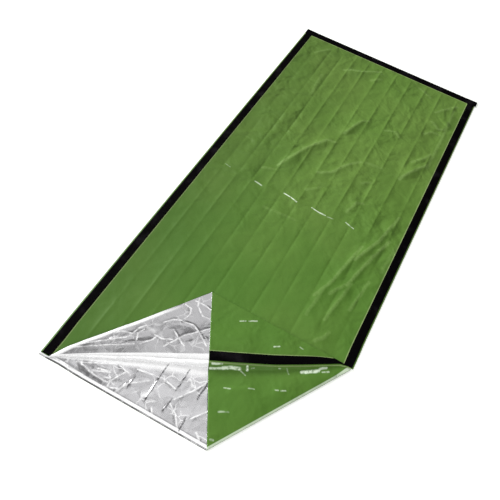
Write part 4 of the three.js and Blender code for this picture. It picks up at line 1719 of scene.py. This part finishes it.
@dataclass
class Tapes:
    """The three seam tapes, with the steps of their cells."""

    lift: float = 0.0012
    thickness: float = 0.0006
    column_step: float = 0.0039
    row_step: float = 0.0042
    foot_step: float = 0.0060
    left_start: float = 0.002
    right_start: float = 0.001
    foot_end: float = 0.002
    lap_gap: float = 0.003
    lap_ramp: float = 0.012
    lap_clear: float = 0.0003

    def side(self, name: str, u0: float, v0: float) -> FlatSheet:
        """Starts a side tape.

        Args:
            name: Name of the piece.
            u0: Its edge with the lower u.
            v0: Where it starts, from the mouth.

        Returns:
            The flat tape.
        """
        columns = spread((u0, u0 + FORM.tape_width), self.column_step)
        rows = spread((v0, FORM.length - self.foot_end), self.row_step)
        return FlatSheet(name, columns, rows, FORM.top_place, self.thickness, self.lift)

    def left(self) -> bpy.types.Object:
        """Builds the left side's tape."""
        return self.side("left_tape", FORM.seal_margin, FORM.rim_step + self.left_start).lay()

    def right(self) -> bpy.types.Object:
        """Builds the right side's tape, which follows the mouth's folds.

        Returns:
            The finished object.
        """
        edge = FORM.width - FORM.seal_margin - FORM.tape_width
        tape = self.side("right_tape", edge, self.right_start)
        tape.cut_ridge()
        tape.cut_corner(FORM.lap_end_r, FORM.lap_start_r)
        return tape.lay()

    def foot_place(self, u: Reading, v: Reading) -> Place:
        """Lays the foot's tape over the side tapes' ends and past the right side.

        Args:
            u: Metres across the bag.
            v: Metres from the mouth.

        Returns:
            The places u, v and z.
        """
        inward = np.minimum(u, FORM.width - u) - FORM.tape_edge - self.lap_gap
        lapped = 1.0 - smooth(inward / self.lap_ramp)
        _, _, z = FORM.top_place(np.minimum(u, FORM.width), np.minimum(v, FORM.length))
        return u, v, z + lapped * (self.thickness + self.lap_clear)

    def foot(self) -> bpy.types.Object:
        """Builds the foot's tape with its small tab.

        Returns:
            The finished object.
        """
        columns = spread((0.0, FORM.width, FORM.width + FORM.tab), self.foot_step)
        rows = spread((FORM.length - FORM.foot_tape_width, FORM.length), self.foot_step)
        return FlatSheet("foot_tape", columns, rows, self.foot_place, self.thickness, self.lift).lay()

    def dress(self, pieces: dict[str, bpy.types.Object]) -> None:
        """Dresses the tapes, all in one finish.

        Args:
            pieces: The tapes, by their CAD nodes.
        """
        black = SeamTape().material()
        for node, piece in pieces.items():
            dress(piece, {Side.UPPER: black}, node)


@dataclass(frozen=True)
class Softbox:
    """A square softbox: where it hangs, the point that it faces, its side and its power in watts."""

    name: str
    place: Spot3
    aim: Spot3
    size: float
    power: float

    def hang(self) -> None:
        """Hangs the softbox in the scene."""
        light = bpy.data.lights.new(self.name, "AREA")
        light.shape = "SQUARE"
        light.size = self.size
        light.energy = self.power
        lamp = add_object(self.name, light)
        lamp.location = self.place
        facing = Vector(self.aim) - Vector(self.place)
        lamp.rotation_euler = facing.to_track_quat("-Z", "Y").to_euler()


@dataclass
class Studio:
    """Camera, floor and lights."""

    eye: Spot3 = (0.3355, -1.723, 1.956)
    azimuth: float = 16.25
    elevation: float = 53.30
    roll: float = 13.79
    lens: float = 46.88
    sensor: float = 36.0
    floor_size: float = 14.0
    surround: float = 0.17
    softboxes: tuple[Softbox, ...] = (
        Softbox("key", (-9.65, 2.6, 4.6), (0.0, 0.0, 0.0), 4.3, 1470.0),
        Softbox("top", (0.1, -1.1, 3.3), (-0.1, -0.6, 0.0), 2.2, 10.0),
        Softbox("front", (1.4, -3.4, 2.2), (-0.1, -0.8, 0.0), 2.6, 60.0),
        Softbox("back", (-0.85, 2.05, 4.3), (0.0, -0.2, 0.0), 3.4, 29.5))

    def camera(self) -> None:
        """Sets the camera at the photograph's place and angle."""
        azimuth, elevation, roll = map(math.radians, (self.azimuth, self.elevation, self.roll))
        look = Vector((-math.sin(azimuth) * math.cos(elevation),
                       math.cos(azimuth) * math.cos(elevation), -math.sin(elevation)))
        level = look.cross(Vector((0.0, 0.0, 1.0))).normalized()
        upright = level.cross(look)
        side = level * math.cos(roll) + upright * math.sin(roll)
        top = upright * math.cos(roll) - level * math.sin(roll)
        lens = bpy.data.cameras.new("camera")
        lens.sensor_width = self.sensor
        lens.lens = self.lens
        eye = add_object("camera", lens)
        turn = Matrix((side, top, -look)).transposed().to_4x4()
        eye.matrix_world = Matrix.Translation(self.eye) @ turn
        bpy.context.scene.camera = eye

    def floor(self) -> None:
        """Lays the floor just under the bag."""
        ground = bmesh.new()
        bmesh.ops.create_grid(ground, x_segments=4, y_segments=4, size=self.floor_size)
        mesh = bpy.data.meshes.new("floor")
        ground.to_mesh(mesh)
        ground.free()
        mesh.materials.append(PaleFloor().material())
        floor = add_object("floor", mesh)

    def lights(self) -> None:
        """Sets the even surround and the softboxes."""
        world = bpy.data.worlds.new("surround")
        world.use_nodes = True
        ground = world.node_tree.nodes["Background"]
        ground.inputs["Color"].default_value = (1.0, 1.0, 1.0, 1.0)
        ground.inputs["Strength"].default_value = self.surround
        bpy.context.scene.world = world
        for softbox in self.softboxes:
            softbox.hang()
        view = bpy.context.scene.view_settings
        view.view_transform = "Standard"
        view.look = "None"


def main() -> None:
    """Builds the scene: camera and floor, the two panels, and the three tapes."""
    logging.basicConfig(level=logging.INFO, format="%(name)s %(message)s")
    studio = Studio()
    studio.camera()
    studio.floor()
    studio.lights()

    panels = Panels()
    top, bottom = panels.top(), panels.bottom()
    panels.dress_top(top)
    panels.dress_bottom(bottom)

    tapes = Tapes()
    left, right, foot = tapes.left(), tapes.right(), tapes.foot()
    tapes.dress({"tape_left": left, "tape_right": right, "tape_foot": foot})


if __name__ == "__main__":
    main()
